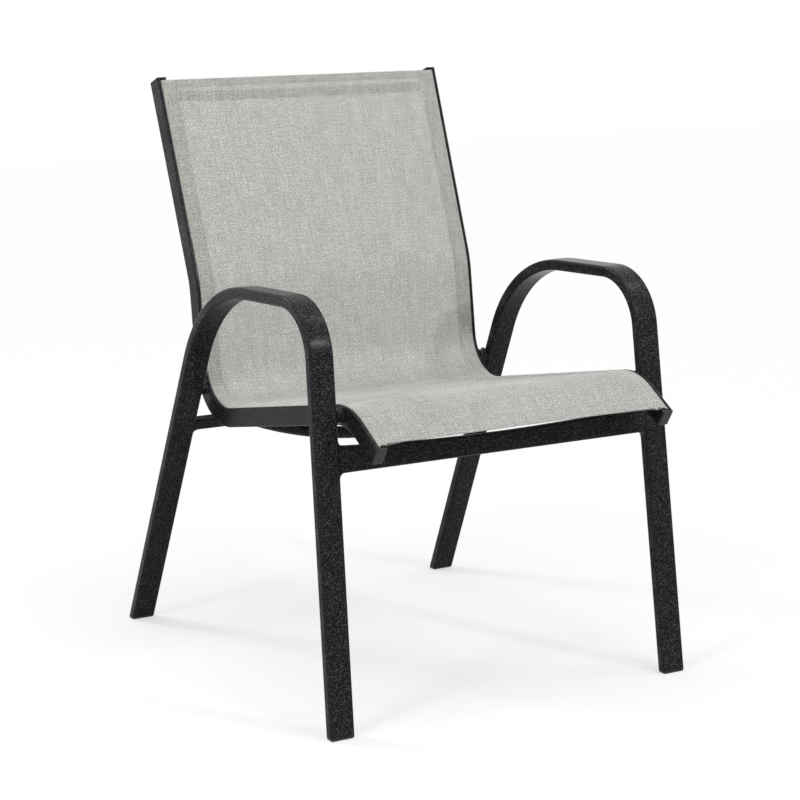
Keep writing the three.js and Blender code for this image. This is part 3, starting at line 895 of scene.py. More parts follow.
@dataclass(frozen=True)
class SideFrames:
    """The two bent flat tubes that form legs and arms, with the plugs in their feet."""

    spread: float = 0.559
    splay: float = radians(1.13)
    splay_height: float = 0.310
    front_foot: float = -0.317
    rear_foot: float = 0.345
    front_lean: float = radians(7.9)
    rear_lean: float = radians(24)
    arm_height: float = 0.583
    arm_rise: float = radians(2.9)
    front_radius: float = 0.082
    rear_radius: float = 0.210
    tube_width: float = 0.038
    tube_depth: float = 0.0165
    tube_corner: float = 0.004
    tube_crown: float = 0.0004
    foot_height: float = 0.005
    plug_gap: float = 0.0003
    plug_round: float = 0.0034
    plug_rings: int = 7
    plug_wear: float = 0.2
    past_floor: float = 0.020
    corner_facets: int = 6
    face_steps: int = 12
    bend_step: float = radians(2.5)
    run_step: float = 0.04

    def shift(self) -> float:
        """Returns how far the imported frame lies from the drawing's own Y, read from a foot's mount."""
        feet = {mount["name"]: mount for mount in frame["record"]["mounts"]}
        return feet["left_front_foot"]["pos_m"][1] - self.front_foot

    def lean(self, end: End) -> float:
        """Returns how far a leg leans from upright, above zero where its top lies further back."""
        return self.front_lean if end is End.FRONT else -self.rear_lean

    def leg_heading(self, end: End) -> np.ndarray:
        """Returns the upward direction of a leg in the Y-Z plane."""
        return np.array([sin(self.lean(end)), cos(self.lean(end))])

    def foot(self, end: End) -> np.ndarray:
        """Returns the foot's centre on the floor, as Y and Z."""
        return np.array([self.front_foot if end is End.FRONT else self.rear_foot, 0.0])

    def line(self) -> BentLine:
        """Draws the tube's centre line, from below one foot to below the other.

        Each leg's line meets the arm's line where both give the same point.

        Returns:
            The line in the frame's own plane.
        """
        arm = np.array([0.0, self.arm_height])
        along = np.array([cos(self.arm_rise), -sin(self.arm_rise)])
        corners = []
        for end in End:
            foot, up = self.foot(end), self.leg_heading(end)
            reach = np.linalg.solve(np.column_stack([up, -along]), arm - foot)[0]
            corners.append([foot - self.past_floor * up, foot + reach * up])
        front, rear = corners
        return BentLine(np.array([*front, *rear[::-1]]), (self.front_radius, self.rear_radius))

    def tilted(self, points: np.ndarray, side: Side) -> np.ndarray:
        """Moves points drawn about X = 0 into one frame's leaning plane.

        Args:
            points: Points drawn about X = 0.
            side: The side.

        Returns:
            The points in place.
        """
        turn = -side.value * self.splay
        x, y, z = points[..., 0], points[..., 1], points[..., 2] - self.splay_height
        return np.stack([
            x * cos(turn) + z * sin(turn) + side.value * self.spread / 2,
            y + self.shift(),
            z * cos(turn) - x * sin(turn) + self.splay_height,
        ], axis=-1)

    def inner_half_width(self, height: float | np.ndarray) -> float | np.ndarray:
        """Returns half the clear width between the side frames at a height."""
        centre = self.spread / 2 + (self.splay_height - height) * tan(self.splay)
        return centre - self.tube_width / 2 / cos(self.splay)

    def leg_direction(self, side: Side, end: End) -> np.ndarray:
        """Returns the upward direction of a leg in place."""
        foot, up = self.foot(end), self.leg_heading(end)
        ends = self.tilted(np.array([[0.0, *foot], [0.0, *(foot + up)]]), side)
        return ends[1] - ends[0]

    def build_tube(self, side: Side, coat: bpy.types.Material) -> bpy.types.Object:
        """Sweeps one side frame's rounded rectangle along its line and cuts its feet level.

        Its broad faces are a little crowned, by crown * (1 - (2 x / w)^2).

        Args:
            side: The side.
            coat: The coat.

        Returns:
            The tube.
        """
        outline = rounded_rectangle(self.tube_width, self.tube_depth, self.tube_corner,
                                    self.corner_facets, self.tube_width / self.face_steps)
        flat = np.abs(outline[:, 1]) > self.tube_depth / 2 - self.tube_corner
        crown = self.tube_crown * (1 - (2 * outline[:, 0] / self.tube_width) ** 2)
        outline[:, 1] += np.sign(outline[:, 1]) * crown * flat
        line = self.line()
        stations = line.stations(self.bend_step, self.run_step)
        rings = self.tilted(carried(outline, *line.at(stations)), side)
        rings[0] = slid_to_height(rings[1], self.leg_direction(side, End.FRONT), self.foot_height)
        rings[-1] = slid_to_height(rings[-2], self.leg_direction(side, End.REAR), self.foot_height)
        surface = Surface(rings, np.broadcast_to(outline[:, 2], rings.shape[:2]))
        return surface.build(f"bent_tube_{side.label}", coat, COAT_SLOT, f"{side.label}_side_frame")

    def build_plug(self, side: Side, end: End, plastic: bpy.types.Material) -> bpy.types.Object:
        """Stacks level rings of the tube's outline, drawn in at the bottom by a round of radius r.

        At a height z under r the outline is drawn in by r - sqrt(r^2 - (r - z)^2).

        Args:
            side: The side.
            end: The end.
            plastic: The plastic.

        Returns:
            The plug's pad.
        """
        top = self.foot_height - self.plug_gap
        heights = np.concatenate([
            self.plug_round * quarter_round(self.plug_rings), [top - self.plug_gap, top]])
        insets = fillet(heights, self.plug_round)
        insets[-1] = self.plug_gap
        foot, up = self.foot(end), self.leg_heading(end)
        along = self.leg_direction(side, end)
        rings, edges = [], []
        for height, inset in zip(heights, insets):
            outline = rounded_rectangle(self.tube_width - 2 * inset, self.tube_depth - 2 * inset,
                                        self.tube_corner - inset, self.corner_facets)
            ring = carried(outline, foot[None], up[None])[0]
            rings.append(slid_to_height(self.tilted(ring, side), along, height))
            edges.append(np.full(len(ring), 1.0 if inset > 0 else self.plug_wear))
        surface = Surface(np.array(rings), np.array(edges))
        return surface.build(f"foot_plug_{end.label}_{side.label}", plastic, "plug_black",
                             f"{side.label}_{end.label}_foot_plug")


# Crossbars


@dataclass(frozen=True)
class Crossbar:
    """A flat tube along X between two legs, with a weld fillet in the corners that it makes."""

    frames: SideFrames
    end: End
    height: float
    depth: float
    corner: float
    level: float
    dip: float
    weld_faces: tuple[int, ...]
    weld_leg: float = 0.008
    weld_inset: float = 0.0022
    weld_rings: int = 10
    middle_rings: int = 12
    ripple_pitch: float = 0.0016
    ripple_share: float = 0.05
    corner_facets: int = 6
    face_steps: int = 8
    sunk: float = 0.0003

    def build(self, coat: bpy.types.Material) -> bpy.types.Object:
        """Carries the bar's outline from leg to leg.

        Near a leg, the faces that carry a weld swell by the fillet's height. The bar's top sinks in its
        middle by dip * (1 - (x / reach)^2) between the welds, and its side faces follow evenly.

        Args:
            coat: The coat.

        Returns:
            The bar.
        """
        outline = rounded_rectangle(self.depth, self.height, self.corner,
                                    self.corner_facets, self.depth / self.face_steps)
        lean = -self.frames.lean(self.end)
        foot = self.frames.foot(self.end)[0] + self.frames.shift()
        place = foot - self.level * tan(lean)
        y, z = outline[:, 0], outline[:, 1]
        half = self.frames.inner_half_width(self.level + z * cos(lean)) + self.sunk
        reach = half.mean() - self.weld_leg
        near = self.weld_leg * quarter_round(self.weld_rings)
        middle = np.linspace(0.0, 1.0, self.middle_rings)[1:-1]
        gaps = np.concatenate([near, self.weld_leg + middle * reach])
        x = np.concatenate([half[None] - gaps[:, None], np.zeros((1, len(z)))])
        x = np.concatenate([-x[:-1], x[::-1]])
        swell = fillet(half[None] - np.abs(x), self.weld_leg)
        swell = swell * eased((self.depth / 2 - np.abs(y)) / self.weld_inset)
        face = np.sign(z) * np.isin(np.sign(z), self.weld_faces)
        share = np.clip(z / (self.height - 2 * self.corner) + 0.5, 0.0, 1.0)
        sink = share * self.dip * np.maximum(0.0, 1 - (x / reach) ** 2)
        ripple = 1 + self.ripple_share * np.sin(2 * pi * y / self.ripple_pitch)
        raised = z + face * swell * ripple - sink
        rings = np.stack([
            x,
            y * cos(lean) - raised * sin(lean) + place,
            y * sin(lean) + raised * cos(lean) + self.level,
        ], axis=-1)
        surface = Surface(rings, outline[:, 2] * (swell < self.sunk))
        name = self.end.label
        return surface.build(f"welded_crossbar_{name}", coat, COAT_SLOT, f"{name}_crossbar")


# Sling rails


@dataclass(frozen=True)
class SlingRails:
    """The two S-shaped slotted rails, drawn by the line that the sling follows, and what they carry."""

    frames: SideFrames
    spread: float = 0.4956
    back_flare: float = 0.0036
    width: float = 0.016
    depth: float = 0.029
    corner: float = 0.002
    nose: tuple[float, float] = (-0.3531, 0.4145)
    nose_run: tuple[float, float] = (0.092, radians(30.9))
    seat_run: tuple[float, float] = (0.449, radians(-11.3))
    lumbar_run: tuple[float, float] = (0.194, radians(90 - 8))
    back_run: tuple[float, float] = (0.326, radians(90 - 21.6))
    knee_radius: float = 0.100
    hip_radius: float = 0.070
    lumbar_radius: float = 0.160
    lip_width: float = 0.0045
    lip_drop: float = 0.0019
    lip_round: float = 0.0005
    slot_width: float = 0.003
    channel_radius: float = 0.0045
    channel_drop: float = 0.008
    lip_facets: int = 3
    lip_support: float = 0.0002
    channel_facets: int = 18
    bend_step: float = radians(2)
    run_step: float = 0.03
    standoff_radius: float = 0.0105
    standoff_bead: float = 0.003
    standoff_sunk: tuple[float, float] = (0.0004, 0.0006)
    standoff_ripple: tuple[float, int] = (0.012, 22)
    bead_rings: int = 7
    around: int = 40
    front_standoff: tuple[float, float] = (-0.25304, 0.44147)
    rear_standoff: tuple[float, float] = (0.16999, 0.40795)
    nose_cap: tuple[float, float] = (0.003, 0.0015)
    top_cap: tuple[float, float] = (0.0018, 0.0008)
    cap_dome: float = 0.0004
    cap_rim_rings: int = 6
    cap_face_rings: int = 9
    cap_core: float = 0.0011
    nose_round: float = 0.005
    cap_gap: float = 0.0003

    @property
    def slot_reach(self) -> float:
        """Returns the distance of the slot's middle from X = 0."""
        return self.spread / 2 - self.lip_width - self.slot_width / 2

    def line(self) -> BentLine:
        """Returns the sling line, from the nose to the top of the back."""
        runs = [self.nose_run, self.seat_run, self.lumbar_run, self.back_run]
        steps = np.array([[run * cos(angle), run * sin(angle)] for run, angle in runs])
        corners = np.vstack([[self.nose], np.array(self.nose) + np.cumsum(steps, axis=0)])
        return BentLine(corners, (self.knee_radius, self.hip_radius, self.lumbar_radius))

    def placed(self, points: np.ndarray) -> np.ndarray:
        """Spreads points by the lean of the back runs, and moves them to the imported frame.

        At a height z the spread is x * (1 + share * flare / half spread), and the share falls from 1 at
        the top of the back to 0 at the lumbar corner.

        Args:
            points: Points drawn about the sling line.

        Returns:
            The points in place.
        """
        top = self.line().corners[-1, 1]
        rise = self.back_run[0] * sin(self.back_run[1])
        share = np.maximum(0.0, 1 - (top - points[..., 2]) / rise)
        moved = points.copy()
        moved[..., 0] *= 1 + share * self.back_flare / (self.spread / 2)
        moved[..., 1] += self.frames.shift()
        return moved

    def outline(self) -> np.ndarray:
        """Draws the slotted section on the right, x outwards and y up out of the sling line.

        Returns:
            Rows of x, y and edge share.
        """
        outer, inner = self.spread / 2, self.spread / 2 - self.width
        r, lip, low = self.corner, self.lip_round, self.corner - self.depth
        opening = np.arcsin(self.slot_width / 2 / self.channel_radius)
        slot_out = self.slot_reach + self.slot_width / 2
        slot_in = self.slot_reach - self.slot_width / 2
        channel = arc((self.slot_reach, -self.channel_drop), self.channel_radius, pi / 2 + opening,
                      2 * pi - 2 * opening, self.channel_facets, 0.0, 0.0)
        fine = (self.lip_facets, self.lip_support)
        return np.vstack([
            arc((slot_out + lip, -lip), lip, pi, -pi / 2, *fine),
            arc((outer - r, -r), r, pi / 2, -pi / 2),
            arc((outer - r, low), r, 0.0, -pi / 2),
            arc((inner + r, low), r, -pi / 2, -pi / 2),
            arc((inner + r, -self.lip_drop - r), r, pi, -pi / 2),
            arc((slot_in - lip, -self.lip_drop - lip), lip, pi / 2, -pi / 2, *fine),
            channel,
        ])

    def build_rail(self, side: Side, coat: bpy.types.Material) -> bpy.types.Object:
        """Carries the slotted section along the sling line.

        Args:
            side: The side.
            coat: The coat.

        Returns:
            The rail.
        """
        outline = self.outline() * np.array([side.value, 1, 1])
        line = self.line()
        stations = line.stations(self.bend_step, self.run_step)
        rings = self.placed(carried(outline, *line.at(stations)))
        surface = Surface(rings, np.broadcast_to(outline[:, 2], rings.shape[:2]))
        return surface.build(f"slotted_rail_{side.label}", coat, COAT_SLOT, f"{side.label}_sling_rail")

    def build_cap(self, side: Side, end: End, plastic: bpy.types.Material,
                  slot: str) -> bpy.types.Object:
        """Stacks rings of the rail's outline over its end: a bevelled rim, then a slightly domed face.

        A nose cap's face turns inwards near its lower end, by the height of a round of radius r there.

        Args:
            side: The side.
            end: FRONT for the nose, REAR for the top of the back.
            plastic: The plastic.
            slot: The record's material slot.

        Returns:
            The cap's head.
        """
        line, is_nose = self.line(), end is End.FRONT
        points, tangents = line.at(np.array([0.0 if is_nose else line.length]))
        outward = tangents[0] * end.value
        turn = np.linspace(0, pi / 2, self.cap_rim_rings)
        thickness, rim = self.nose_cap if is_nose else self.top_cap
        widest = self.width / 2 - self.cap_core
        face = np.linspace(rim, widest, self.cap_face_rings)[1:]
        insets = np.concatenate([[self.cap_gap, 0.0], rim * (1 - np.cos(turn)), face])
        rises = np.concatenate([
            [0.0, self.cap_gap],
            thickness - rim + rim * np.sin(turn),
            thickness + self.cap_dome * (1 - ((widest - face) / (widest - rim)) ** 2),
        ])
        middle = np.array([side.value * (self.spread - self.width) / 2, -self.depth / 2, 0.0])
        rings, edges = [], []
        for inset, rise in zip(insets, rises):
            corner = max(self.corner - inset, rim / 2)
            outline = rounded_rectangle(self.width - 2 * inset, self.depth - 2 * inset, corner) + middle
            ring = carried(outline, points, tangents)[0]
            low = fillet(outline[:, 1] + self.depth, self.nose_round) if is_nose else 0.0
            out = np.broadcast_to(self.cap_gap + np.clip(thickness - low, 0.0, rise), len(ring))
            ring[:, 1:] += out[:, None] * outward
            rings.append(ring)
            # The edge share is 1 on the rim and over the nose's lower round: rubbed paler edges on the
            # black top caps, painted shade on the grey nose caps.
            edges.append(np.clip((thickness + self.cap_gap - out) / rim, 0.0, 1.0))
        name, node = ("nose", "front") if is_nose else ("top", "top")
        surface = Surface(self.placed(np.array(rings)), np.array(edges))
        return surface.build(f"rail_cap_{name}_{side.label}", plastic, slot,
                             f"{side.label}_rail_{node}_cap")

    def build_standoff(self, side: Side, end: End, coat: bpy.types.Material) -> bpy.types.Object:
        """Carries a circle from the rail's outer face to the leg, swollen by a weld bead at both ends.

        Args:
            side: The side.
            end: The end.
            coat: The coat.

        Returns:
            The stub.
        """
        y, z = self.front_standoff if end is End.FRONT else self.rear_standoff
        start = self.spread / 2 - self.standoff_sunk[0]
        stop = self.frames.inner_half_width(z) + self.standoff_sunk[1]
        near = self.standoff_bead * quarter_round(self.bead_rings)
        along = np.unique(np.concatenate([start + near, stop - near]))
        gap = np.minimum(along - start, stop - along)
        radius = self.standoff_radius + fillet(np.maximum(gap, 0.0), self.standoff_bead)
        angle = full_turn(self.around)
        depth, count = self.standoff_ripple
        beaded = radius[:, None] > self.standoff_radius + SAME_PLACE
        ripple = 1 + depth * np.sin(count * angle) * beaded
        rings = np.stack([
            np.broadcast_to(side.value * along[:, None], (len(along), len(angle))),
            y + self.frames.shift() + radius[:, None] * ripple * np.cos(angle),
            z + radius[:, None] * ripple * np.sin(angle),
        ], axis=-1)
        surface = Surface(rings, np.zeros(rings.shape[:2]))
        return surface.build(f"welded_stub_{end.label}_{side.label}", coat, COAT_SLOT,
                             f"{side.label}_{end.label}_standoff")


# Spreaders


@dataclass(frozen=True)
class Spreaders:
    """The two bowed round tubes that keep the rails apart."""

    rails: SlingRails
    seat_diameter: float = 0.019
    seat_place: float = 0.065
    seat_bow: float = 0.046
    back_diameter: float = 0.016
    back_drop: float = 0.0255
    back_bow: float = 0.006
    behind: float = 0.015
    bead: float = 0.0028
    bead_rings: int = 7
    run_rings: int = 60
    around: int = 40
    sunk: float = 0.0004

    def bowed(self, diameter: float, bow: float, reach: float) -> np.ndarray:
        """Carries a circle along a circular arc in the X-Y plane, cut square to X at both ends.

        For a span s and a bow b the arc's radius is s^2 / (8 b) + b / 2. It hangs towards -Y.

        Args:
            diameter: The tube's diameter.
            bow: How far the arc's middle lies from its chord.
            reach: Half the length between the rails.

        Returns:
            The rings, with the chord along X and the circle's third direction along Z.
        """
        radius = (2 * reach) ** 2 / (8 * bow) + bow / 2
        half = np.arcsin(reach / radius)
        near = self.bead * quarter_round(self.bead_rings) / radius
        run = np.linspace(-half + self.bead / radius, half - self.bead / radius, self.run_rings)
        sweep = np.unique(np.concatenate([-half + near, run, half - near]))
        swell = fillet(np.maximum((half - np.abs(sweep)) * radius, 0.0), self.bead)
        angle = full_turn(self.around)
        out = (diameter / 2 + swell)[:, None] * np.cos(angle)
        side = (diameter / 2 + swell)[:, None] * np.sin(angle)
        heading = sweep[:, None]
        x = radius * np.sin(heading) - out * np.sin(heading)
        y = radius * (1 - np.cos(heading)) - bow + out * np.cos(heading)
        ends = np.abs(sweep) > half - SAME_PLACE
        flush = np.sign(sweep)[:, None] * reach - x
        x = np.where(ends[:, None], x + flush, x)
        y = np.where(ends[:, None], y + flush * np.tan(heading), y)
        return np.stack([x, y, side], axis=-1)

    def build(self, coat: bpy.types.Material) -> list[bpy.types.Object]:
        """Turns each bowed tube into place: the seat's hangs down, the back's lies behind the back.

        Args:
            coat: The coat.

        Returns:
            The two spreaders.
        """
        rails = self.rails
        reach = rails.spread / 2 - rails.width + self.sunk
        corners = rails.line().corners
        slope = tan(rails.seat_run[1])
        level = corners[1, 1] + (self.seat_place - corners[1, 0]) * slope
        level -= self.behind / cos(rails.seat_run[1])
        seat = self.bowed(self.seat_diameter, self.seat_bow, reach)
        hung = np.stack([seat[..., 0], self.seat_place - seat[..., 2], level + seat[..., 1]], axis=-1)
        along = np.array([cos(rails.back_run[1]), sin(rails.back_run[1])])
        away = np.array([along[1], -along[0]])
        spot = corners[-1] - self.back_drop * along + self.behind * away
        back = self.bowed(self.back_diameter, self.back_bow, reach)
        flat = spot - back[..., 1:2] * away - back[..., 2:3] * along
        leant = np.concatenate([back[..., :1], flat], axis=-1)
        pieces = []
        for name, rings in (("seat", hung), ("back", leant)):
            surface = Surface(rails.placed(rings), np.zeros(rings.shape[:2]))
            pieces.append(surface.build(f"bowed_tube_{name}", coat, COAT_SLOT, f"{name}_spreader"))
        return pieces


# Sling


@dataclass(frozen=True)
class Wave:
    """A slow wave of the cloth: its height, its turns along and across the cloth, and its start."""

    height: float
    along: float
    across: float
    start: float


@dataclass(frozen=True)
class Crease:
    """A soft ripple across the sling: its place along the cloth, its slant, width and height."""

    along: float
    slant: float
    width: float
    height: float


@dataclass(frozen=True)
class EdgeStep:
    """A step of the front edge: how far before the slot it starts, its width and its reach."""

    before: float
    width: float
    reach: float


@dataclass(frozen=True)
class Tail:
    """A small point of the front hem that hangs out: its place across the cloth, width and length."""

    across: float
    width: float
    length: float


@dataclass(frozen=True)
class Sling:
    """One length of mesh cloth, folded under along all its edges, with a loop round each spline."""

    rails: SlingRails
    thickness: float = 0.0008
    single: float = 0.00045
    side_hem: float = 0.024
    front_hem: float = 0.026
    top_hem: float = 0.0135
    front_setback: float = 0.008
    top_setback: float = 0.0025
    spline_radius: float = 0.0027
    loop_gap: float = 0.0003
    loop_facets: int = 15
    loop_start: float = 0.005
    stitch_length: float = 0.0026
    stitch_pitch: float = 0.0036
    stitch_radius: float = 0.00032
    stitch_dip: float = 1.2
    stitch_lift: float = 0.1
    stitch_least: float = 0.05
    stitch_rings: int = 6
    stitch_around: int = 5
    seam_inset: float = 0.002
    seam_ends: float = 0.004
    front_seam: float = 0.0075
    step_across: float = 0.0055
    step_hem: float = 0.0011
    step_along: float = 0.005
    bend_step: float = radians(2.0)
    fold_rings: int = 4
    fold_reach: float = 0.003
    fold_least: float = 0.04
    hem_edge: float = 0.0004
    brink: float = 0.002
    brink_out: tuple[float, ...] = (0.001, 0.0018, 0.0024, 0.0026)
    brink_fall: tuple[float, ...] = (0.00008, 0.0004, 0.0011, 0.0019)
    return_in: tuple[float, float] = (1.0, 1.75)
    return_fall: tuple[float, float] = (3.2, 2.0)
    under_ends: tuple[float, float] = (5.0, 1.0)
    hem_fall: tuple[float, float] = (2.0, 1.2)
    free_ends: tuple[float, float] = (1.25, 2.5)
    held_reach: float = 0.05
    drawn_fade: float = 0.012
    edge_steps: tuple[EdgeStep, ...] = (
        EdgeStep(0.0125, 0.0015, 0.0014),
        EdgeStep(0.004, 0.0035, 0.0034),
    )
    tails: tuple[Tail, ...] = (
        Tail(-0.2305, 0.0027, 0.0042),
        Tail(0.2237, 0.0038, 0.0048),
    )
    waves: tuple[Wave, ...] = (
        Wave(0.00030, 11.0, 2.1, 0.6),
        Wave(0.00022, 23.0, -3.4, 1.9),
        Wave(0.00016, 41.0, 5.2, 0.0),
    )
    creases: tuple[Crease, ...] = (
        Crease(0.436, 0.016, 0.009, 0.0013),
        Crease(0.474, 0.010, 0.008, 0.0014),
        Crease(0.505, -0.012, 0.008, -0.0008),
        Crease(0.530, 0.006, 0.012, 0.0007),
    )

    def ends(self) -> tuple[float, float]:
        """Returns where the cloth starts and stops along the sling line."""
        return self.front_setback, self.rails.line().length - self.top_setback

    def hems(self) -> tuple[float, float]:
        """Returns where the front hem ends and the top hem starts along the sling line."""
        start, stop = self.ends()
        return start + self.front_hem, stop - self.top_hem

    def relief(self, across: np.ndarray, along: np.ndarray) -> np.ndarray:
        """Height of the cloth over the taut sling line.

        It is a sum of slow sine waves and of the creases, each height * exp(-(d / width)^2) at the
        distance d from a slanting line, and it dies out where the rails hold the cloth.

        Args:
            across: Distances from the middle.
            along: Distances from the nose.

        Returns:
            The heights.
        """
        reach = self.rails.slot_reach
        held = eased((reach - np.abs(across)) / self.held_reach)
        share = across / reach
        height = np.zeros(np.broadcast(across, along).shape)
        for wave in self.waves:
            phase = wave.along * along + wave.across * share + wave.start
            height = height + wave.height * np.sin(phase)
        for crease in self.creases:
            away = (along - crease.along - crease.slant * share) / crease.width
            height = height + crease.height * np.exp(-(away**2))
        return held * height

    def drawn_out(self, across: np.ndarray, along: np.ndarray) -> np.ndarray:
        """Draws the front edge forward over the rails and in the hem's two tails.

        Over the rail's top the edge lies further forward by one step, and over the slot by one more. A
        tail adds length * (1 - |x - place| / width). All of it fades out a little further up the cloth.

        Args:
            across: Distances from the middle.
            along: Distances from the nose.

        Returns:
            The new distances from the nose.
        """
        past = np.abs(across) - self.rails.slot_reach
        out = np.zeros_like(across)
        for step in self.edge_steps:
            out = out + step.reach * eased((past + step.before) / step.width)
        for tail in self.tails:
            out = out + tail.length * np.maximum(0.0, 1 - np.abs(across - tail.across) / tail.width)
        return along - out * (1 - eased((along - self.front_setback) / self.drawn_fade))

    def section(self) -> tuple[np.ndarray, np.ndarray, np.ndarray, np.ndarray]:
        """Draws the right half of the cloth's section.

        It runs from the middle over the slot's brink, down into the slot, round the spline, back out
        and along the hem's underside, where it steps up to the single cloth and returns to the middle.
        Underneath, return_in to free_ends give small distances as multiples of the thickness t.

        Returns:
            x, y from the sling line, the place across the flat cloth, and 1 where the point is free to
            move with the cloth's relief, 0 where the rail holds it.
        """
        reach, t = self.rails.slot_reach, self.thickness
        loop = self.spline_radius + self.loop_gap + t
        hem, brink = reach - self.side_hem, reach - self.brink
        single = np.arange(0.0, hem, self.step_across)
        doubled = np.arange(hem, brink - self.step_hem / 2, self.step_hem)
        top = np.concatenate([single, doubled, [brink]])
        bend, fall = brink + np.array(self.brink_out), -np.array(self.brink_fall)
        opening = np.arcsin(t / loop)
        angle = pi / 2 - opening + (2 * opening - 2 * pi) * np.linspace(0, 1, self.loop_facets)
        ring_x = reach + loop * np.cos(angle)
        ring_y = -self.rails.channel_drop + loop * np.sin(angle)
        back = reach - np.array(self.return_in) * t
        under = np.arange(brink - self.under_ends[0] * t, hem + self.under_ends[1] * t, -self.step_hem)
        step = hem + self.hem_edge * np.array([1.0, 0.0, -1.0])
        inner = np.append(np.arange(hem - self.brink, 0.0, -self.step_across), 0.0)
        x = np.concatenate([top, bend, ring_x, back, under, step, inner])
        y = np.concatenate([
            0 * top, fall, ring_y, -np.array(self.return_fall) * t, -2 * t + 0 * under,
            -np.array(self.hem_fall) * t, [-self.single], -self.single + 0 * inner])
        turned = reach + self.loop_start + (pi / 2 - opening - angle) * loop
        flat = np.concatenate([top, bend - fall, turned, back, under, step, inner])
        free = (np.abs(x) < brink - self.free_ends[0] * t) & (y > -self.free_ends[1] * t)
        return x, y, flat, free.astype(float)

    def laid(self, across: np.ndarray, along: np.ndarray, raised: np.ndarray) -> np.ndarray:
        """Lays points over the sling line, raised along its normal (-tz, ty).

        Args:
            across: Distances from the middle.
            along: Distances from the nose, as many as across.
            raised: Heights over the line.

        Returns:
            The points in place.
        """
        points, tangents = self.rails.line().at(along.ravel())
        points, tangents = points.reshape(*along.shape, 2), tangents.reshape(*along.shape, 2)
        return self.rails.placed(np.stack([
            across,
            points[..., 0] - tangents[..., 1] * raised,
            points[..., 1] + tangents[..., 0] * raised,
        ], axis=-1))

    def build_cloth(self, fabric: bpy.types.Material) -> bpy.types.Object:
        """Carries the closed section along the sling line.

        The underside lies one layer down, or two over the hems, and both faces run together over the
        last length at the front and top, as the round of a fold.

        Args:
            fabric: The cloth.

        Returns:
            The sling.
        """
        (start, stop), hems = self.ends(), np.array(self.hems())
        inner = self.rails.line().stations(self.bend_step, self.step_along)
        inner = inner[(inner > start + self.fold_reach) & (inner < stop - self.fold_reach)]
        turn = self.thickness * quarter_round(self.fold_rings)
        along = np.unique(np.concatenate([
            start + turn, inner, stop - turn, hems - self.hem_edge, hems + self.hem_edge]))
        x, y, flat, free = self.section()
        x, flat = (np.concatenate([half, -half[-2:0:-1]]) for half in (x, flat))
        y, free = (np.concatenate([half, half[-2:0:-1]]) for half in (y, free))
        lower = (free > 0) & (y < -self.single / 2)
        x = np.broadcast_to(x, (len(along), len(x)))
        lengths = self.drawn_out(x, along[:, None])
        raised = np.broadcast_to(y, x.shape).copy()
        doubled = ((along < hems[0]) | (along > hems[1]))[:, None] & lower
        raised[doubled] = np.minimum(raised[doubled], -2 * self.thickness)
        edge = np.minimum(along - start, stop - along)[:, None]
        gone = np.clip(edge / self.thickness, 0, 1)
        close = np.sqrt(np.clip(1 - (1 - gone) ** 2, self.fold_least, 1))
        middle = -self.thickness
        raised = np.where(free > 0, middle + (raised - middle) * close, raised)
        rings = self.laid(x, lengths, raised + free * self.relief(x, lengths))
        cloth = np.stack(np.broadcast_arrays(flat, lengths), axis=-1)
        under = np.broadcast_to(lower.astype(float), x.shape)
        return Surface(rings, under, cloth).build("mesh_sling", fabric, CLOTH_SLOT, "sling")

    def seams(self) -> list[tuple[np.ndarray, np.ndarray, bool]]:
        """Lists the seams that hold the hems.

        Returns:
            For each seam the stitches' places across and along the cloth, and whether it runs along.
        """
        (start, stop), (front, top) = self.ends(), self.hems()
        beside = self.rails.slot_reach - self.side_hem + self.seam_inset
        down = np.arange(start + self.seam_ends, stop - self.seam_ends, self.stitch_pitch)
        over = np.arange(-beside, beside, self.stitch_pitch)
        found = [(np.full_like(down, side.value * beside), down, True) for side in Side]
        for place in (start + self.front_seam, front - self.seam_inset, top + self.seam_inset):
            found.append((over, np.full_like(over, place), False))
        return found

    def build_stitches(self, thread: bpy.types.Material) -> bpy.types.Object:
        """Lays short bent threads along the seams, on both faces of the hems.

        A stitch runs from -1 to 1 along itself. Its ends dip into the cloth by a parabola, and its
        radius falls as sqrt(1 - t^4).

        Args:
            thread: The thread.

        Returns:
            All stitches as one piece.
        """
        share, angle = np.linspace(-1, 1, self.stitch_rings), full_turn(self.stitch_around)
        girth = self.stitch_radius * np.sqrt(np.clip(1 - share**4, self.stitch_least, 1))
        run = share[:, None] * self.stitch_length / 2 + 0 * angle
        aside = girth[:, None] * np.cos(angle)
        dip = self.stitch_radius * self.stitch_dip * share[:, None] ** 2
        up = girth[:, None] * np.sin(angle) - dip
        grid = np.arange(len(share) * len(angle)).reshape(len(share), len(angle))
        beside = np.roll(grid, -1, axis=1)
        quads = np.stack([grid[:-1], grid[1:], beside[1:], beside[:-1]], axis=-1).reshape(-1, 4)
        points, faces, count = [], [], 0
        for across, along, runs_along in self.seams():
            ahead, aslant = (run, aside) if runs_along else (aside, run)
            s, u = along[:, None, None] + ahead, across[:, None, None] + aslant
            for face, lift in ((1, self.stitch_lift * self.stitch_radius), (-1, -2 * self.thickness)):
                raised = lift + face * up + self.relief(u, s)
                points.append(self.laid(u, s, raised).reshape(-1, 3))
                starts = count + grid.size * np.arange(len(across))
                kept = (face > 0) == runs_along
                turned = quads if kept else quads[:, ::-1]
                ends = [grid[0], grid[-1][::-1]] if kept else [grid[0][::-1], grid[-1]]
                faces += (starts[:, None, None] + turned).reshape(-1, 4).tolist()
                for end in ends:
                    faces += (starts[:, None] + end).tolist()
                count += grid.size * len(across)
        return seated(made("hem_stitches", np.vstack(points), faces, thread), CLOTH_SLOT)

    def declare(self, cloth: bpy.types.Object) -> None:
        """Works out where the cloth starts and stops, and does nothing more with the sling.

        Args:
            cloth: The sling; not used.
        """
        start, stop = self.ends()


# Studio


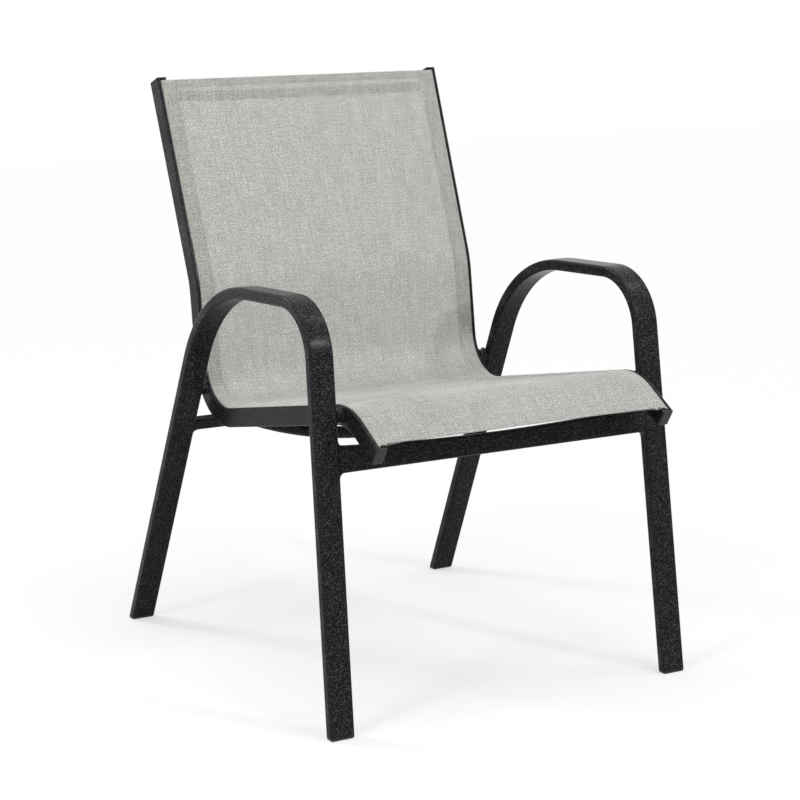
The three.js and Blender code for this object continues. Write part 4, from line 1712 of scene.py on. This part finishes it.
@dataclass(frozen=True)
class Lamp:
    """A square soft lamp that points at the chair's middle."""

    name: str
    place: tuple[float, float, float]
    size: float
    energy: float
    target: tuple[float, float, float] = (0.0, 0.0, 0.35)

    def build(self) -> None:
        """Adds the lamp to the scene."""
        data = bpy.data.lights.new(self.name, "AREA")
        data.energy = self.energy
        data.size = self.size
        lamp = bpy.data.objects.new(self.name, data)
        x, y, z = np.array(self.place) - np.array(self.target)
        lamp.location = self.place
        lamp.rotation_euler = (atan2(hypot(x, y), z), 0.0, atan2(y, x) + pi / 2)
        bpy.context.scene.collection.objects.link(lamp)


@dataclass(frozen=True)
class Studio:
    """White floor and backdrop, soft lamps, and the camera at the photograph's viewing angle."""

    camera_place: tuple[float, float, float] = (-1.760777, -2.955665, 1.110525)
    azimuth: float = radians(-30.747)
    elevation: float = radians(11.801)
    lens: float = 103.66
    sensor: float = 36.0
    floor_size: float = 14.0
    floor_lines: int = 9
    floor_drop: float = 0.0002
    ambient: float = 0.36
    lamps: tuple[Lamp, ...] = (
        Lamp("front_lamp", (0.35, -3.6, 2.5), 0.7, 19.0),
        Lamp("right_lamp", (1.6, -0.6, 3.1), 0.6, 11.0),
        Lamp("low_lamp", (1.2, -2.5, 2.1), 0.25, 23.0),
        Lamp("left_lamp", (-3.0, -1.3, 2.3), 0.7, 37.0),
        Lamp("back_lamp", (-1.8, 2.1, 2.2), 0.7, 34.0),
        Lamp("top_lamp", (-0.2, -0.3, 3.9), 2.4, 48.0),
    )

    def build_floor(self) -> None:
        """Lays a plain square floor, a grid of straight lines, a hair under the feet."""
        line = np.linspace(-self.floor_size / 2, self.floor_size / 2, self.floor_lines)
        x, y = np.meshgrid(line, line)
        index = np.arange(x.size).reshape(x.shape)
        quads = np.stack([index[:-1, :-1], index[:-1, 1:], index[1:, 1:], index[1:, :-1]], axis=-1)
        points = np.column_stack([x.ravel(), y.ravel(), np.full(x.size, -self.floor_drop)])
        floor = made("studio_floor", points, quads.reshape(-1, 4).tolist(), StudioFloor().make())
        floor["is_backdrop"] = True

    def build_light(self) -> None:
        """Sets the surroundings, white to the eye and dimmer as a light, and the lamps."""
        world = bpy.data.worlds.new("studio_world")
        bpy.context.scene.world = world
        graph = NodeGraph(world)
        level = graph.remap(seen_by_eye(graph), Ramp(0.0, 1.0, self.ambient, 1.0))
        sky = graph.add("ShaderNodeBackground", inputs={"Color": rgba(WHITE), "Strength": level})
        graph.add("ShaderNodeOutputWorld", inputs={"Surface": sky.outputs[0]})
        for lamp in self.lamps:
            lamp.build()

    def build_camera(self) -> None:
        """Places the camera and makes it the scene's own."""
        data = bpy.data.cameras.new("photo_camera")
        data.lens = self.lens
        data.sensor_width = self.sensor
        camera = bpy.data.objects.new("photo_camera", data)
        camera.location = self.camera_place
        camera.rotation_euler = (pi / 2 - self.elevation, 0.0, self.azimuth)
        bpy.context.scene.collection.objects.link(camera)
        bpy.context.scene.camera = camera
        bpy.context.scene.view_settings.view_transform = "Standard"


def dress_splines(plastic: bpy.types.Material) -> None:
    """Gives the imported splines, which the sling's loops hide, their plastic.

    Args:
        plastic: The plastic.
    """
    for side in Side:
        node = frame["nodes"][f"{side.label}_sling_spline"]
        node.data.materials.clear()
        node.data.materials.append(plastic)
        log.info("%s: dressed", node.name)


def write_sizes() -> None:
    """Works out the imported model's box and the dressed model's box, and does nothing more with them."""
    boxes = {"cad": CAD_BOX, "visual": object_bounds()}
    rows = {name: [[float(c) for c in corner] for corner in box] for name, box in boxes.items()}


def main() -> None:
    """Builds the studio and then the chair, one sub-assembly after another."""
    logging.basicConfig(level=logging.INFO, format="%(name)s: %(message)s")
    studio = Studio()
    studio.build_camera()
    studio.build_light()
    studio.build_floor()
    coat = PowderCoat().make()
    black = MouldedPlastic("black_plastic", (0.011, 0.011, 0.012)).make()
    # The grey nose caps' darker edge colour is painted shade on their rim and lower round.
    grey = MouldedPlastic("grey_plastic", (0.026, 0.027, 0.027), edge_wear_and_shade_gain=0.3).make()
    white = MouldedPlastic("white_plastic", (0.66, 0.66, 0.64), edge_wear_and_shade_gain=1.05,
                           roughness=Ramp(0.25, 0.75, 0.34, 0.48)).make()
    frames = SideFrames()
    for side in Side:
        frames.build_tube(side, coat)
        for end in End:
            frames.build_plug(side, end, black)
    Crossbar(frames, End.FRONT, height=frames.tube_width, depth=frames.tube_depth,
             corner=frames.tube_corner, level=0.38247, dip=0.0088, weld_faces=(-1, 1)).build(coat)
    Crossbar(frames, End.REAR, height=0.018, depth=0.015,
             corner=0.003, level=0.34845, dip=0.0, weld_faces=(-1,)).build(coat)
    rails = SlingRails(frames)
    for side in Side:
        rails.build_rail(side, coat)
        rails.build_cap(side, End.FRONT, grey, "plug_grey")
        rails.build_cap(side, End.REAR, black, "plug_black")
        for end in End:
            rails.build_standoff(side, end, coat)
    Spreaders(rails).build(coat)
    sling = Sling(rails)
    fabric = MeshFabric().make(rails.slot_reach - sling.side_hem, *sling.hems())
    cloth = sling.build_cloth(fabric)
    stitches = sling.build_stitches(SewingThread().make())
    sling.declare(cloth)
    dress_splines(white)
    write_sizes()


if __name__ == "__main__":
    main()
